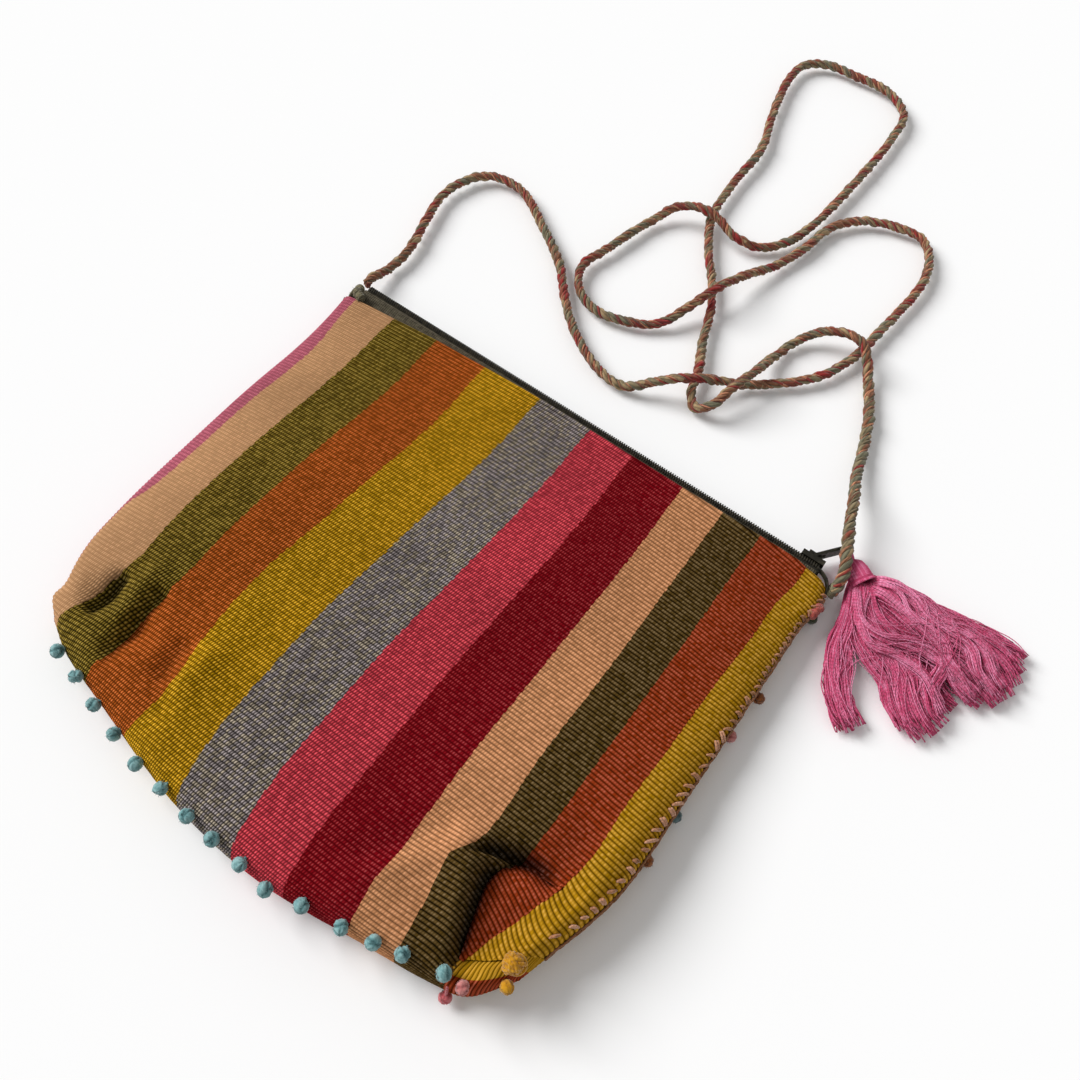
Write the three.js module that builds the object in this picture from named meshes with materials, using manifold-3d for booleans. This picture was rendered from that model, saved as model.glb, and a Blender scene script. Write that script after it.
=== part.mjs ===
// A striped hand-woven cosmetic bag lying on its back, with its zip closed.
// Millimetres, +Z up. X runs along the zip towards its closed end, Y runs from the boxed base
// towards the zip, and the origin is on the table under the middle of the bag's back.

import * as THREE from 'three';
import { mergeVertices } from 'three/addons/utils/BufferGeometryUtils.js';
import Module from 'manifold-3d';

const wasm = await Module();
wasm.setup();

// Cloth pouch
const POUCH_WIDTH = 220;
const POUCH_HEIGHT = 185;
const BASE_BOW = 9;
const CLOTH = 2;
const MOUTH_OPENING = 5;
const MIDDLE_THICKNESS = 13;
const BASE_THICKNESS = 19;
const MOUTH_ROUND = 5;
const FOLD_ROUND = 30;
const SEAM_ROUND = 12;
const BASE_ROUND_AT_FOLD = 14;
const BASE_ROUND_AT_SEAM = 5;
const UNDER_ROUND = 8;
const SEAM_ALLOWANCE = 4;
const FOLD_RIM_HEIGHT = 5;
const SEAM_RIM_HEIGHT = 7;
const BASE_RIM_HEIGHT = 5;
const LEFT_SINK = 4;
const BASE_SINK = 2.9;

// Gap kept between pieces that touch, and between pieces that run on each other
const TOUCH_GAP = 0.3;
const RUNNING_GAP = 0.3;

// Zip
const TAPE_THICKNESS = 0.7;
const TAPE_TURN = 1.8;
const TAPE_SEWN_IN = 9;
const TAPE_END_CLEARANCE = 1.5;
const COIL_THICKNESS = 1.8;
const COIL_HEIGHT = 1.8;
const SLIDER_LENGTH = 9;
const SLIDER_END_GAP = 0.5;
const SLIDER_PLATE = 0.9;
const SLIDER_LIP = 0.5;
const DIVIDER_LENGTH = 2;
const DIVIDER_THICKNESS = 0.6;
const BAIL_WIDTH = 2;
const BAIL_POST = 1;
const BAIL_BRIDGE = 0.8;

// Pull tab
const TAB_LENGTH = 15.5;
const TAB_THICKNESS = 1.2;
const TAB_BAR = 1;
const TAB_RAIL = 0.9;
const TAB_SIDE_GAP = 0.4;
const TAB_END_BAR = 1.6;
const EYE_SLACK = 0.2;
const TAB_ANGLE = THREE.MathUtils.degToRad(52);

// Tassel
const TASSEL_HEAD_LENGTH = 9;
const TASSEL_HEAD_WIDTH = 9;
const TASSEL_HEAD_HEIGHT = 7.6;
const TASSEL_NECK = 5.6;
const TASSEL_SKIRT_LENGTH = 61;
const TASSEL_SKIRT_HEIGHT = 8;
const TASSEL_TIP_HEIGHT = 3;
const BINDING_WIDTH = 2;
const BINDING_THICKNESS = 0.8;

// Strap
const CORD = 4.2;
const CORD_SIDES = 8;
const CORD_STEPS = 80;
const TACK_LENGTH = 6;
const TACK_WIDTH = 5;
const TACK_HEIGHT = 5.4;
const TACK_TAPE_GAP = 1;

// Pompoms
const POMPOM = 5;
const SIDE_POMPOM = 4;

// Colours
const PEACH = 0xcd9673;
const TAPE_GREY = 0x55534a;
const BLACK_COIL = 0x1b1a18;
const BLACKENED_METAL = 0x26221f;
const TASSEL_PINK = 0xc8648f;
const KHAKI = 0x8a8165;
const TEAL = 0x5a9ba0;
const DARK_GREEN = 0x2f3a22;
const RUST = 0xa04a2c;
const PALE_PINK = 0xc98a94;
const GREY_TEAL = 0x6f8584;
const YELLOW = 0xc79316;

// Places that follow from the sizes
const MOUTH_Y = POUCH_HEIGHT / 2;
const MOUTH_THICKNESS = MOUTH_OPENING + 2 * CLOTH;
const ZIP_MIDDLE = MOUTH_THICKNESS / 2;
const TURN_FACE = MOUTH_Y + TAPE_TURN;
const PLATE_BACK = TURN_FACE + RUNNING_GAP;
const TAPE_BACK = PLATE_BACK + SLIDER_PLATE + RUNNING_GAP;
const TAPE_FACE = TAPE_BACK + TAPE_THICKNESS;
const COIL_BACK = TAPE_FACE + TOUCH_GAP;
const COIL_FACE = COIL_BACK + COIL_THICKNESS;
const COIL_INNER = DIVIDER_THICKNESS / 2 + RUNNING_GAP;
const COIL_OUTER = COIL_INNER + COIL_HEIGHT;
const TAPE_HALF = POUCH_WIDTH / 2 - SEAM_ALLOWANCE - TAPE_END_CLEARANCE;
const TACK_X = TAPE_HALF + TACK_TAPE_GAP + TACK_WIDTH / 2;
const SLIDER_X = TACK_X - TACK_WIDTH / 2 - SLIDER_END_GAP - SLIDER_LENGTH / 2;
const PLATE_INSIDE = COIL_FACE + RUNNING_GAP;
const PLATE_FACE = PLATE_INSIDE + SLIDER_PLATE;
const BAIL_GAP = TAB_BAR + 2 * RUNNING_GAP;
const HINGE_Y = PLATE_FACE + BAIL_GAP / 2;
const BAIL_TOP = PLATE_FACE + BAIL_GAP + BAIL_BRIDGE;
const TAB_INSIDE = BAIL_WIDTH + 2 * TAB_SIDE_GAP;
const TAB_WIDTH = TAB_INSIDE + 2 * TAB_RAIL;
const TASSEL_LOOP = TAB_INSIDE - 2 * EYE_SLACK;
const TAB_EYE = TASSEL_LOOP + 4 * EYE_SLACK;

function material(colour, roughness, metalness = 0) {
  return new THREE.MeshStandardMaterial({ color: colour, roughness, metalness });
}

function piece(name, geometry, surface) {
  const mesh = new THREE.Mesh(geometry, surface);
  mesh.name = name;
  return mesh;
}

const MERGE_WITHIN = 1e-4;

function solidOf(geometry) {
  const bare = geometry.clone();
  bare.deleteAttribute('normal');
  bare.deleteAttribute('uv');
  const merged = mergeVertices(bare, MERGE_WITHIN);
  return new wasm.Manifold(new wasm.Mesh({
    numProp: 3,
    vertProperties: new Float32Array(merged.attributes.position.array),
    triVerts: new Uint32Array(merged.index.array),
  }));
}

function geometryOf(solid) {
  const mesh = solid.getMesh();
  const geometry = new THREE.BufferGeometry();
  geometry.setAttribute('position', new THREE.BufferAttribute(new Float32Array(mesh.vertProperties), 3));
  geometry.setIndex(new THREE.BufferAttribute(new Uint32Array(mesh.triVerts), 1));
  geometry.computeVertexNormals();
  return geometry;
}

function box(x0, x1, y0, y1, z0, z1) {
  const geometry = new THREE.BoxGeometry(x1 - x0, y1 - y0, z1 - z0);
  geometry.translate((x0 + x1) / 2, (y0 + y1) / 2, (z0 + z1) / 2);
  return geometry;
}

// Cloth pouch: the plan outline is three edges below the straight mouth. Each point is how far it
// lies in from the side, or out from the base corners, and how far along the edge.
const halfWidth = POUCH_WIDTH / 2;

function curveThrough(points) {
  return new THREE.CatmullRomCurve3(points.map((p) => new THREE.Vector3(...p)), false, 'centripetal');
}

const leftEdge = curveThrough([
  [0, 0], [2, 0.16], [0.5, 0.36], [2, 0.7], [3.5, 0.785], [7.5, 0.85], [16, 0.93],
].map(([inset, share]) => [-halfWidth + inset, MOUTH_Y - share * POUCH_HEIGHT, 0]));

const rightEdge = curveThrough([
  [0, 0], [0, 0.25], [0.5, 0.5], [1, 0.7], [4, 0.78], [8, 0.85], [12, 0.92],
].map(([inset, share]) => [halfWidth - inset, MOUTH_Y - share * POUCH_HEIGHT, 0]));

const baseEdge = curveThrough([
  [0.067, -14], [0.115, -8.5], [0.22, -2.5], [0.42, 0.8 * BASE_BOW], [0.58, BASE_BOW],
  [0.74, 0.5 * BASE_BOW], [0.86, 0.5], [0.905, -2.5], [0.95, -15.2],
].map(([share, out]) => [-halfWidth + share * POUCH_WIDTH, -POUCH_HEIGHT / 2 - out, 0]));

// The edges are joined into one patch, so that s runs from fold to seam and t from mouth to base.
const cornerLeft = leftEdge.getPoint(1);
const cornerRight = rightEdge.getPoint(1);

function plan(s, t) {
  const left = leftEdge.getPointAt(t);
  const right = rightEdge.getPointAt(t);
  const base = baseEdge.getPointAt(s);
  const across = left.clone().lerp(right, s);
  const baseChord = cornerLeft.clone().lerp(cornerRight, s);
  return across.addScaledVector(base.sub(baseChord), t);
}

// Soft ridges and hollows in the front face. Each follows a line whose ends are measured in from
// the seam side (side 1) or the folded side (side -1), and up from the base corners.
const FOLDS = [
  { side: 1, from: [44, 34], to: [33, 16], height: 3.5, width: 7 },
  { side: 1, from: [50, 28], to: [65, 8], height: 2, width: 10 },
  { side: 1, from: [29, 40], to: [27, 10], height: -6, width: 5 },
  { side: 1, from: [20, 28], to: [20, 18], height: -3, width: 8 },
  { side: 1, from: [27, 42], to: [13, 42], height: -2, width: 5 },
  { side: 1, from: [80, 162], to: [90, 92], height: 1.2, width: 20 },
  { side: -1, from: [22, 28], to: [26, 30], height: -4, width: 6 },
  { side: -1, from: [38, 21], to: [44, 26], height: -4, width: 6 },
  { side: -1, from: [28, 34], to: [34, 17], height: 2, width: 5 },
  { side: -1, from: [68, 52], to: [76, 0], height: 1.5, width: 8 },
];

function foldEnd(side, [inwards, up]) {
  return new THREE.Vector3(side * (halfWidth - inwards), up - POUCH_HEIGHT / 2, 0);
}

function smooth(from, to, value) {
  return THREE.MathUtils.smoothstep(value, from, to);
}

function foldHeight(x, y) {
  let sum = 0;
  const point = new THREE.Vector3(x, y, 0);
  const nearest = new THREE.Vector3();
  for (const { side, from, to, height, width } of FOLDS) {
    const line = new THREE.Line3(foldEnd(side, from), foldEnd(side, to));
    line.closestPointToPoint(point, true, nearest);
    sum += height * Math.exp(-((nearest.distanceTo(point) / width) ** 2));
  }
  return sum;
}

// How far a point has risen from an edge, 0 at the edge and 1 past the round.
function roundUp(distance, radius) {
  const share = 1 - Math.min(distance / radius, 1);
  return Math.sqrt(1 - share * share);
}

function edgeDistances(s, t) {
  const at = plan(s, t);
  return {
    left: at.distanceTo(plan(0, t)),
    right: at.distanceTo(plan(1, t)),
    base: at.distanceTo(plan(s, 1)),
  };
}

function rimHeight(s, t) {
  const side = FOLD_RIM_HEIGHT + (SEAM_RIM_HEIGHT - FOLD_RIM_HEIGHT) * s;
  const lower = THREE.MathUtils.lerp(side, BASE_RIM_HEIGHT, smooth(0.85, 1, t));
  return THREE.MathUtils.lerp(ZIP_MIDDLE, lower, smooth(0, 0.2, t));
}

function thickness(s, t) {
  const upper = THREE.MathUtils.lerp(MOUTH_THICKNESS, MIDDLE_THICKNESS, smooth(0, 0.4, t));
  const lower = THREE.MathUtils.lerp(upper, BASE_THICKNESS, smooth(0.3, 0.8, t));
  const leftSink = LEFT_SINK * smooth(0.6, 1, t) * (1 - smooth(0, 0.55, s));
  return lower - leftSink - BASE_SINK * smooth(0.88, 1, t);
}

// The front is flat at the mouth and softens like a cushion below it.
function topRise(s, t) {
  const { left, right, base } = edgeDistances(s, t);
  const softened = smooth(0, 0.3, t);
  const foldRound = THREE.MathUtils.lerp(MOUTH_ROUND, FOLD_ROUND, softened);
  const seamRound = THREE.MathUtils.lerp(MOUTH_ROUND, SEAM_ROUND, softened);
  const baseRound = THREE.MathUtils.lerp(BASE_ROUND_AT_FOLD, BASE_ROUND_AT_SEAM, s);
  return roundUp(left, foldRound) * roundUp(right, seamRound) * roundUp(base, baseRound);
}

function topPoint(s, t) {
  const at = plan(s, t);
  const rise = topRise(s, t);
  const rim = rimHeight(s, t);
  const settled = smooth(0, 0.2, t);
  at.z = rim + (thickness(s, t) + settled * foldHeight(at.x, at.y) - rim) * rise;
  return at;
}

function underPoint(s, t) {
  const at = plan(s, t);
  const { left, right, base } = edgeDistances(s, t);
  const fall = roundUp(left, UNDER_ROUND) * roundUp(right, UNDER_ROUND) * roundUp(base, UNDER_ROUND);
  at.z = rimHeight(s, t) * (1 - fall);
  return at;
}

// Grid lines crowd together where the cloth turns over at the fold, the seam and the base. One of
// them lies at the seam allowance, where the inside begins.
const EDGE_TURNS = [0, 0.08, 0.28];
const MIDDLE_COLUMNS = 31;
const PLAIN_ROWS = 8;
const FOLDED_FROM = 0.68;
const FOLDED_ROWS = 10;
const SEAM_LINE = EDGE_TURNS.length;

function edgeShares(length) {
  const distances = [...EDGE_TURNS.map((turn) => turn * UNDER_ROUND), SEAM_ALLOWANCE, UNDER_ROUND];
  return distances.map((distance) => distance / length);
}

function spread(from, to, count) {
  return Array.from({ length: count }, (_, i) => from + (to - from) * (i + 1) / (count + 1));
}

const sideShares = edgeShares(POUCH_WIDTH);
const baseShares = edgeShares(POUCH_HEIGHT);
const columns = [
  ...sideShares,
  ...spread(sideShares.at(-1), 1 - sideShares.at(-1), MIDDLE_COLUMNS),
  ...sideShares.map((share) => 1 - share).reverse(),
];
const rows = [
  0,
  ...spread(0, FOLDED_FROM, PLAIN_ROWS),
  ...spread(FOLDED_FROM, 1 - baseShares.at(-1), FOLDED_ROWS),
  ...baseShares.map((share) => 1 - share).reverse(),
];

const LEAST_AREA = 1e-7;

// A closed body from triangles of corner points, with shared corners merged.
function bodyOf(triangles) {
  const geometry = new THREE.BufferGeometry();
  geometry.setFromPoints(triangles.flat());
  return mergeVertices(geometry, MERGE_WITHIN);
}

function quad(list, a, b, c, d) {
  for (const corners of [[a, b, c], [a, c, d]]) {
    const area = new THREE.Triangle(...corners).getArea();
    if (area > LEAST_AREA) list.push(corners);
  }
}

// Walks round a block of grid points: down the left, along the base, up the right.
function blockOutline(grid, edge) {
  const lastColumn = columns.length - 1 - edge;
  const lastRow = rows.length - 1 - edge;
  const outline = [];
  for (let r = 0; r < lastRow; r += 1) outline.push(grid[r][edge]);
  for (let c = edge; c < lastColumn; c += 1) outline.push(grid[lastRow][c]);
  for (let r = lastRow; r > 0; r -= 1) outline.push(grid[r][lastColumn]);
  for (let c = lastColumn; c > edge; c -= 1) outline.push(grid[0][c]);
  return outline;
}

function flatCap(list, outline, upward) {
  const flat = outline.map((p) => new THREE.Vector2(p.x, p.y));
  for (const [a, b, c] of THREE.ShapeUtils.triangulateShape(flat, [])) {
    const corners = [outline[a], outline[b], outline[c]];
    const turn = (flat[b].x - flat[a].x) * (flat[c].y - flat[a].y)
      - (flat[b].y - flat[a].y) * (flat[c].x - flat[a].x);
    list.push((turn > 0) === upward ? corners : corners.reverse());
  }
}

function pouchOutside() {
  const top = rows.map((t) => columns.map((s) => topPoint(s, t)));
  const under = rows.map((t) => columns.map((s) => underPoint(s, t)));
  const inner = SEAM_LINE + 1;
  const lastColumn = columns.length - 1;
  const lastRow = rows.length - 1;
  const list = [];
  for (let r = 0; r < lastRow; r += 1) {
    for (let c = 0; c < lastColumn; c += 1) {
      quad(list, top[r][c], top[r + 1][c], top[r + 1][c + 1], top[r][c + 1]);
      const inRim = c < inner || c >= lastColumn - inner || r >= lastRow - inner;
      if (inRim) quad(list, under[r][c], under[r][c + 1], under[r + 1][c + 1], under[r + 1][c]);
    }
  }
  for (let c = 0; c < lastColumn; c += 1) {
    quad(list, top[0][c], top[0][c + 1], under[0][c + 1], under[0][c]);
  }
  flatCap(list, blockOutline(under, inner), false);
  return bodyOf(list);
}

function pouchInside() {
  const edge = SEAM_LINE;
  const lowered = (s, t) => topPoint(s, t).add(new THREE.Vector3(0, 0, -CLOTH));
  const ceiling = rows.map((t) => columns.map((s) => lowered(s, t)));
  for (const point of ceiling[0]) point.y += CLOTH;
  const floor = ceiling.map((line) => line.map((p) => new THREE.Vector3(p.x, p.y, CLOTH)));
  const list = [];
  for (let r = 0; r < rows.length - 1 - edge; r += 1) {
    for (let c = edge; c < columns.length - 1 - edge; c += 1) {
      quad(list, ceiling[r][c], ceiling[r + 1][c], ceiling[r + 1][c + 1], ceiling[r][c + 1]);
    }
  }
  const upper = blockOutline(ceiling, edge);
  const lower = blockOutline(floor, edge);
  for (let i = 0; i < upper.length; i += 1) {
    const next = (i + 1) % upper.length;
    quad(list, upper[i], lower[i], lower[next], upper[next]);
  }
  flatCap(list, lower, false);
  return bodyOf(list);
}

function pouch() {
  const cloth = solidOf(pouchOutside()).subtract(solidOf(pouchInside()));
  return piece('pouch_cloth', geometryOf(cloth), material(PEACH, 0.9));
}

// Zip: sections are drawn across the zip, in Y and Z from the middle of the bag's thickness.
function alongZip(section, x0, x1) {
  const geometry = new THREE.ExtrudeGeometry(section, { depth: x1 - x0, bevelEnabled: false });
  const across = new THREE.Matrix4().makeBasis(
    new THREE.Vector3(0, 1, 0),
    new THREE.Vector3(0, 0, 1),
    new THREE.Vector3(1, 0, 0),
  );
  geometry.applyMatrix4(across);
  geometry.translate(x0, 0, ZIP_MIDDLE);
  return geometry;
}

function sectionOf(points, side) {
  const ordered = side > 0 ? points : [...points].reverse();
  return new THREE.Shape(ordered.map(([y, z]) => new THREE.Vector2(y, side * z)));
}

// Each tape comes out of the mouth against the cloth, turns over and stands behind its coil.
function zipTape(name, side) {
  const slot = ZIP_MIDDLE - CLOTH - TOUCH_GAP;
  const bend = ZIP_MIDDLE - TOUCH_GAP;
  const section = sectionOf([
    [MOUTH_Y - TAPE_SEWN_IN, slot - TAPE_THICKNESS],
    [MOUTH_Y + TOUCH_GAP + TAPE_THICKNESS, slot - TAPE_THICKNESS],
    [TURN_FACE, bend - TAPE_THICKNESS],
    [TAPE_BACK, bend - TAPE_THICKNESS],
    [TAPE_BACK, COIL_INNER],
    [TAPE_FACE, COIL_INNER],
    [TAPE_FACE, bend - TAPE_THICKNESS / 2],
    [TAPE_BACK, bend],
    [TURN_FACE, bend],
    [MOUTH_Y + TOUCH_GAP, slot],
    [MOUTH_Y - TAPE_SEWN_IN, slot],
  ], side);
  return piece(name, alongZip(section, -TAPE_HALF, TAPE_HALF), material(TAPE_GREY, 0.85));
}

function zipCoil(name, side) {
  const edge = COIL_THICKNESS / 4;
  const section = sectionOf([
    [COIL_BACK, COIL_INNER],
    [COIL_FACE - edge, COIL_INNER],
    [COIL_FACE, COIL_INNER + edge],
    [COIL_FACE, COIL_OUTER - edge],
    [COIL_FACE - edge, COIL_OUTER],
    [COIL_BACK, COIL_OUTER],
  ], side);
  return piece(name, alongZip(section, -TAPE_HALF, TAPE_HALF), material(BLACK_COIL, 0.5));
}

// Slider: a plate in front of the coils with a lip at each edge, a plate behind the tapes, the
// divider between them and the bail that holds the pull.
function slider() {
  const half = SLIDER_LENGTH / 2;
  const backHalf = COIL_OUTER + RUNNING_GAP;
  const plateHalf = backHalf + SLIDER_LIP;
  const backFace = PLATE_BACK + SLIDER_PLATE;
  const lipFrom = COIL_BACK + COIL_THICKNESS / 2;
  const joined = SLIDER_PLATE / 2;
  const bailHalf = BAIL_GAP / 2 + BAIL_POST + RUNNING_GAP + TAB_BAR / 2;
  const frontZ = [ZIP_MIDDLE - plateHalf, ZIP_MIDDLE + plateHalf];
  const backZ = [ZIP_MIDDLE - backHalf, ZIP_MIDDLE + backHalf];
  const dividerZ = [ZIP_MIDDLE - DIVIDER_THICKNESS / 2, ZIP_MIDDLE + DIVIDER_THICKNESS / 2];
  const bailZ = [ZIP_MIDDLE - BAIL_WIDTH / 2, ZIP_MIDDLE + BAIL_WIDTH / 2];
  const pieces = [
    box(-half, half, PLATE_INSIDE, PLATE_FACE, ...frontZ),
    box(-half, half, lipFrom, PLATE_INSIDE + joined, backZ[1], frontZ[1]),
    box(-half, half, lipFrom, PLATE_INSIDE + joined, frontZ[0], backZ[0]),
    box(-half, half, PLATE_BACK, backFace, ...backZ),
    box(half - DIVIDER_LENGTH, half, backFace - joined, PLATE_INSIDE + joined, ...dividerZ),
    box(-bailHalf, BAIL_POST - bailHalf, PLATE_FACE - joined, BAIL_TOP, ...bailZ),
    box(bailHalf - BAIL_POST, bailHalf, PLATE_FACE - joined, BAIL_TOP, ...bailZ),
    box(-bailHalf, bailHalf, BAIL_TOP - BAIL_BRIDGE, BAIL_TOP, ...bailZ),
  ];
  const whole = pieces.map(solidOf).reduce((joint, solid) => joint.add(solid));
  const mesh = piece('zip_slider', geometryOf(whole), material(BLACKENED_METAL, 0.35, 0.9));
  mesh.position.x = SLIDER_X;
  return mesh;
}

// Pull tab: a flat strip standing on edge, drawn from its hinge bar along its length. The front
// opening takes the bail, and the tassel hangs in the eye.
const TAB_OPENING = 2 * (BAIL_POST + RUNNING_GAP) + BAIL_GAP;
const EYE_MIDDLE = TAB_LENGTH - TAB_END_BAR - TAB_EYE / 2;

function bailHole() {
  const half = TAB_INSIDE / 2;
  const corners = [[TAB_BAR / 2, -half], [TAB_OPENING, -half], [TAB_OPENING, half], [TAB_BAR / 2, half]];
  return new THREE.Path(corners.map((p) => new THREE.Vector2(...p)));
}

function eyeHole() {
  const hole = new THREE.Path();
  hole.absellipse(EYE_MIDDLE, 0, TAB_EYE / 2, TAB_INSIDE / 2, 0, 2 * Math.PI, false, 0);
  return hole;
}

function pullTab() {
  const halfWidthOfTab = TAB_WIDTH / 2;
  const outline = new THREE.Shape();
  outline.moveTo(-TAB_BAR / 2, -halfWidthOfTab);
  outline.lineTo(TAB_LENGTH - TAB_WIDTH, -halfWidthOfTab);
  outline.absarc(TAB_LENGTH - halfWidthOfTab, 0, halfWidthOfTab, -Math.PI / 2, Math.PI / 2, false);
  outline.lineTo(-TAB_BAR / 2, halfWidthOfTab);
  outline.holes.push(bailHole(), eyeHole());
  const geometry = new THREE.ExtrudeGeometry(outline, {
    depth: TAB_THICKNESS, bevelEnabled: false, curveSegments: 8,
  });
  geometry.translate(0, 0, -TAB_THICKNESS / 2);
  geometry.rotateX(Math.PI / 2);
  return piece('pull_tab', geometry, material(BLACKENED_METAL, 0.35, 0.9));
}

// Tassel: one bundle of threads looped through the eye, bound at the neck and fanned out on the
// table. It is drawn along its own axis, away from the eye.
const LOOP_REACH = TAB_THICKNESS / 2 + TOUCH_GAP + TASSEL_LOOP / 2;
const LOOP_FAR = TAB_END_BAR + TAB_EYE / 2 + TOUCH_GAP + TASSEL_LOOP / 2;
const HEAD_START = LOOP_REACH + TASSEL_LOOP / 2;
const NECK_AT = HEAD_START + TASSEL_HEAD_LENGTH;

// The fanned skirt seen from above, in shares of its length: three locks with notches between them.
const SKIRT_OUTLINE = [
  [0, -0.08], [0.1, -0.21], [0.31, -0.38], [0.54, -0.49], [0.75, -0.49], [0.87, -0.44],
  [0.8, -0.36], [0.67, -0.36], [0.56, -0.28], [0.67, -0.21], [0.82, -0.2], [0.95, -0.13], [1, -0.07],
  [0.97, 0.05], [0.92, 0.13], [0.8, 0.1], [0.85, 0.23], [0.9, 0.33], [0.92, 0.46],
  [0.84, 0.61], [0.7, 0.74], [0.61, 0.72], [0.44, 0.49], [0.16, 0.25], [0, 0.1],
];

function ringSection(along, middle, halfAcross, halfUp) {
  const sides = 16;
  return Array.from({ length: sides }, (_, i) => {
    const angle = 2 * Math.PI * i / sides;
    return new THREE.Vector3(along, middle + halfAcross * Math.cos(angle), halfUp * Math.sin(angle));
  });
}

function lofted(sections) {
  const list = [];
  const sides = sections[0].length;
  for (let k = 0; k < sections.length - 1; k += 1) {
    for (let i = 0; i < sides; i += 1) {
      const next = (i + 1) % sides;
      quad(list, sections[k][i], sections[k][next], sections[k + 1][next], sections[k + 1][i]);
    }
  }
  const end = sections.at(-1);
  for (let i = 1; i < sides - 1; i += 1) {
    list.push([sections[0][0], sections[0][i + 1], sections[0][i]]);
    list.push([end[0], end[i], end[i + 1]]);
  }
  return bodyOf(list);
}

function tasselLoop() {
  const insideHead = HEAD_START + TASSEL_HEAD_LENGTH / 3;
  const path = new THREE.CatmullRomCurve3([
    [insideHead, TASSEL_LOOP / 4],
    [0, 0],
    [-LOOP_REACH, TASSEL_LOOP / 8],
    [-LOOP_REACH - TASSEL_LOOP / 4, LOOP_FAR / 2],
    [-LOOP_REACH, LOOP_FAR],
    [LOOP_REACH, LOOP_FAR],
    [insideHead, LOOP_FAR - TASSEL_LOOP / 2],
  ].map(([along, across]) => new THREE.Vector3(along, across, 0)));
  const round = new THREE.Shape();
  round.absarc(0, 0, TASSEL_LOOP / 2, 0, 2 * Math.PI, false);
  return new THREE.ExtrudeGeometry(round, {
    extrudePath: path, steps: 24, curveSegments: 8, bevelEnabled: false,
  });
}

function tasselSkirt(from, middle) {
  const outline = new THREE.Shape(SKIRT_OUTLINE.map(([along, across]) => new THREE.Vector2(
    from + along * TASSEL_SKIRT_LENGTH,
    middle + across * TASSEL_SKIRT_LENGTH,
  )));
  const geometry = new THREE.ExtrudeGeometry(outline, { depth: 1, bevelEnabled: false });
  const position = geometry.attributes.position;
  for (let i = 0; i < position.count; i += 1) {
    const share = (position.getX(i) - from) / TASSEL_SKIRT_LENGTH;
    const height = THREE.MathUtils.lerp(TASSEL_SKIRT_HEIGHT, TASSEL_TIP_HEIGHT, share);
    position.setZ(i, TOUCH_GAP - ZIP_MIDDLE + height * position.getZ(i));
  }
  return geometry;
}

function tasselThreads() {
  const middle = LOOP_FAR / 2;
  const halfHead = TASSEL_HEAD_WIDTH / 2;
  const halfHeight = TASSEL_HEAD_HEIGHT / 2;
  const bound = TASSEL_NECK / 2;
  const shoulder = TASSEL_HEAD_LENGTH / 6;
  const skirtFrom = NECK_AT + BINDING_WIDTH;
  const head = lofted([
    ringSection(HEAD_START, middle, 0.6 * halfHead, 0.6 * halfHeight),
    ringSection(HEAD_START + shoulder, middle, halfHead, halfHeight),
    ringSection(NECK_AT - shoulder, middle, halfHead, halfHeight),
    ringSection(NECK_AT, middle, bound, bound),
    ringSection(skirtFrom + BINDING_WIDTH, middle, bound, bound),
  ]);
  const bundle = solidOf(head).add(solidOf(tasselLoop())).add(solidOf(tasselSkirt(skirtFrom, middle)));
  return piece('tassel_threads', geometryOf(bundle), material(TASSEL_PINK, 0.85));
}

function tasselBinding() {
  const inside = TASSEL_NECK / 2 + TOUCH_GAP;
  const outside = inside + BINDING_THICKNESS;
  const profile = [
    [inside, TOUCH_GAP], [outside, TOUCH_GAP], [outside, BINDING_WIDTH - TOUCH_GAP],
    [inside, BINDING_WIDTH - TOUCH_GAP], [inside, TOUCH_GAP],
  ].map(([radius, height]) => new THREE.Vector2(radius, height));
  const geometry = new THREE.LatheGeometry(profile, 16);
  geometry.rotateZ(-Math.PI / 2);
  geometry.translate(NECK_AT, LOOP_FAR / 2, 0);
  return piece('tassel_binding', geometry, material(TASSEL_PINK, 0.85));
}

// Strap: a twisted cord lying loosely on the table above the bag, sewn on at both mouth corners.
// Where it crosses itself, the upper stretch rides over the lower one.
const CORD_RADIUS = CORD / 2;
const CORD_END_Y = MOUTH_Y + TACK_LENGTH + 2 * TOUCH_GAP;
const LOW = CORD_RADIUS + TOUCH_GAP;
const OVER = LOW + 1.4 * CORD;
const RISE = (LOW + OVER) / 2;
const OVER_TAB = ZIP_MIDDLE + TAB_WIDTH / 2 + CORD_RADIUS + 4 * TOUCH_GAP;

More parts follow.
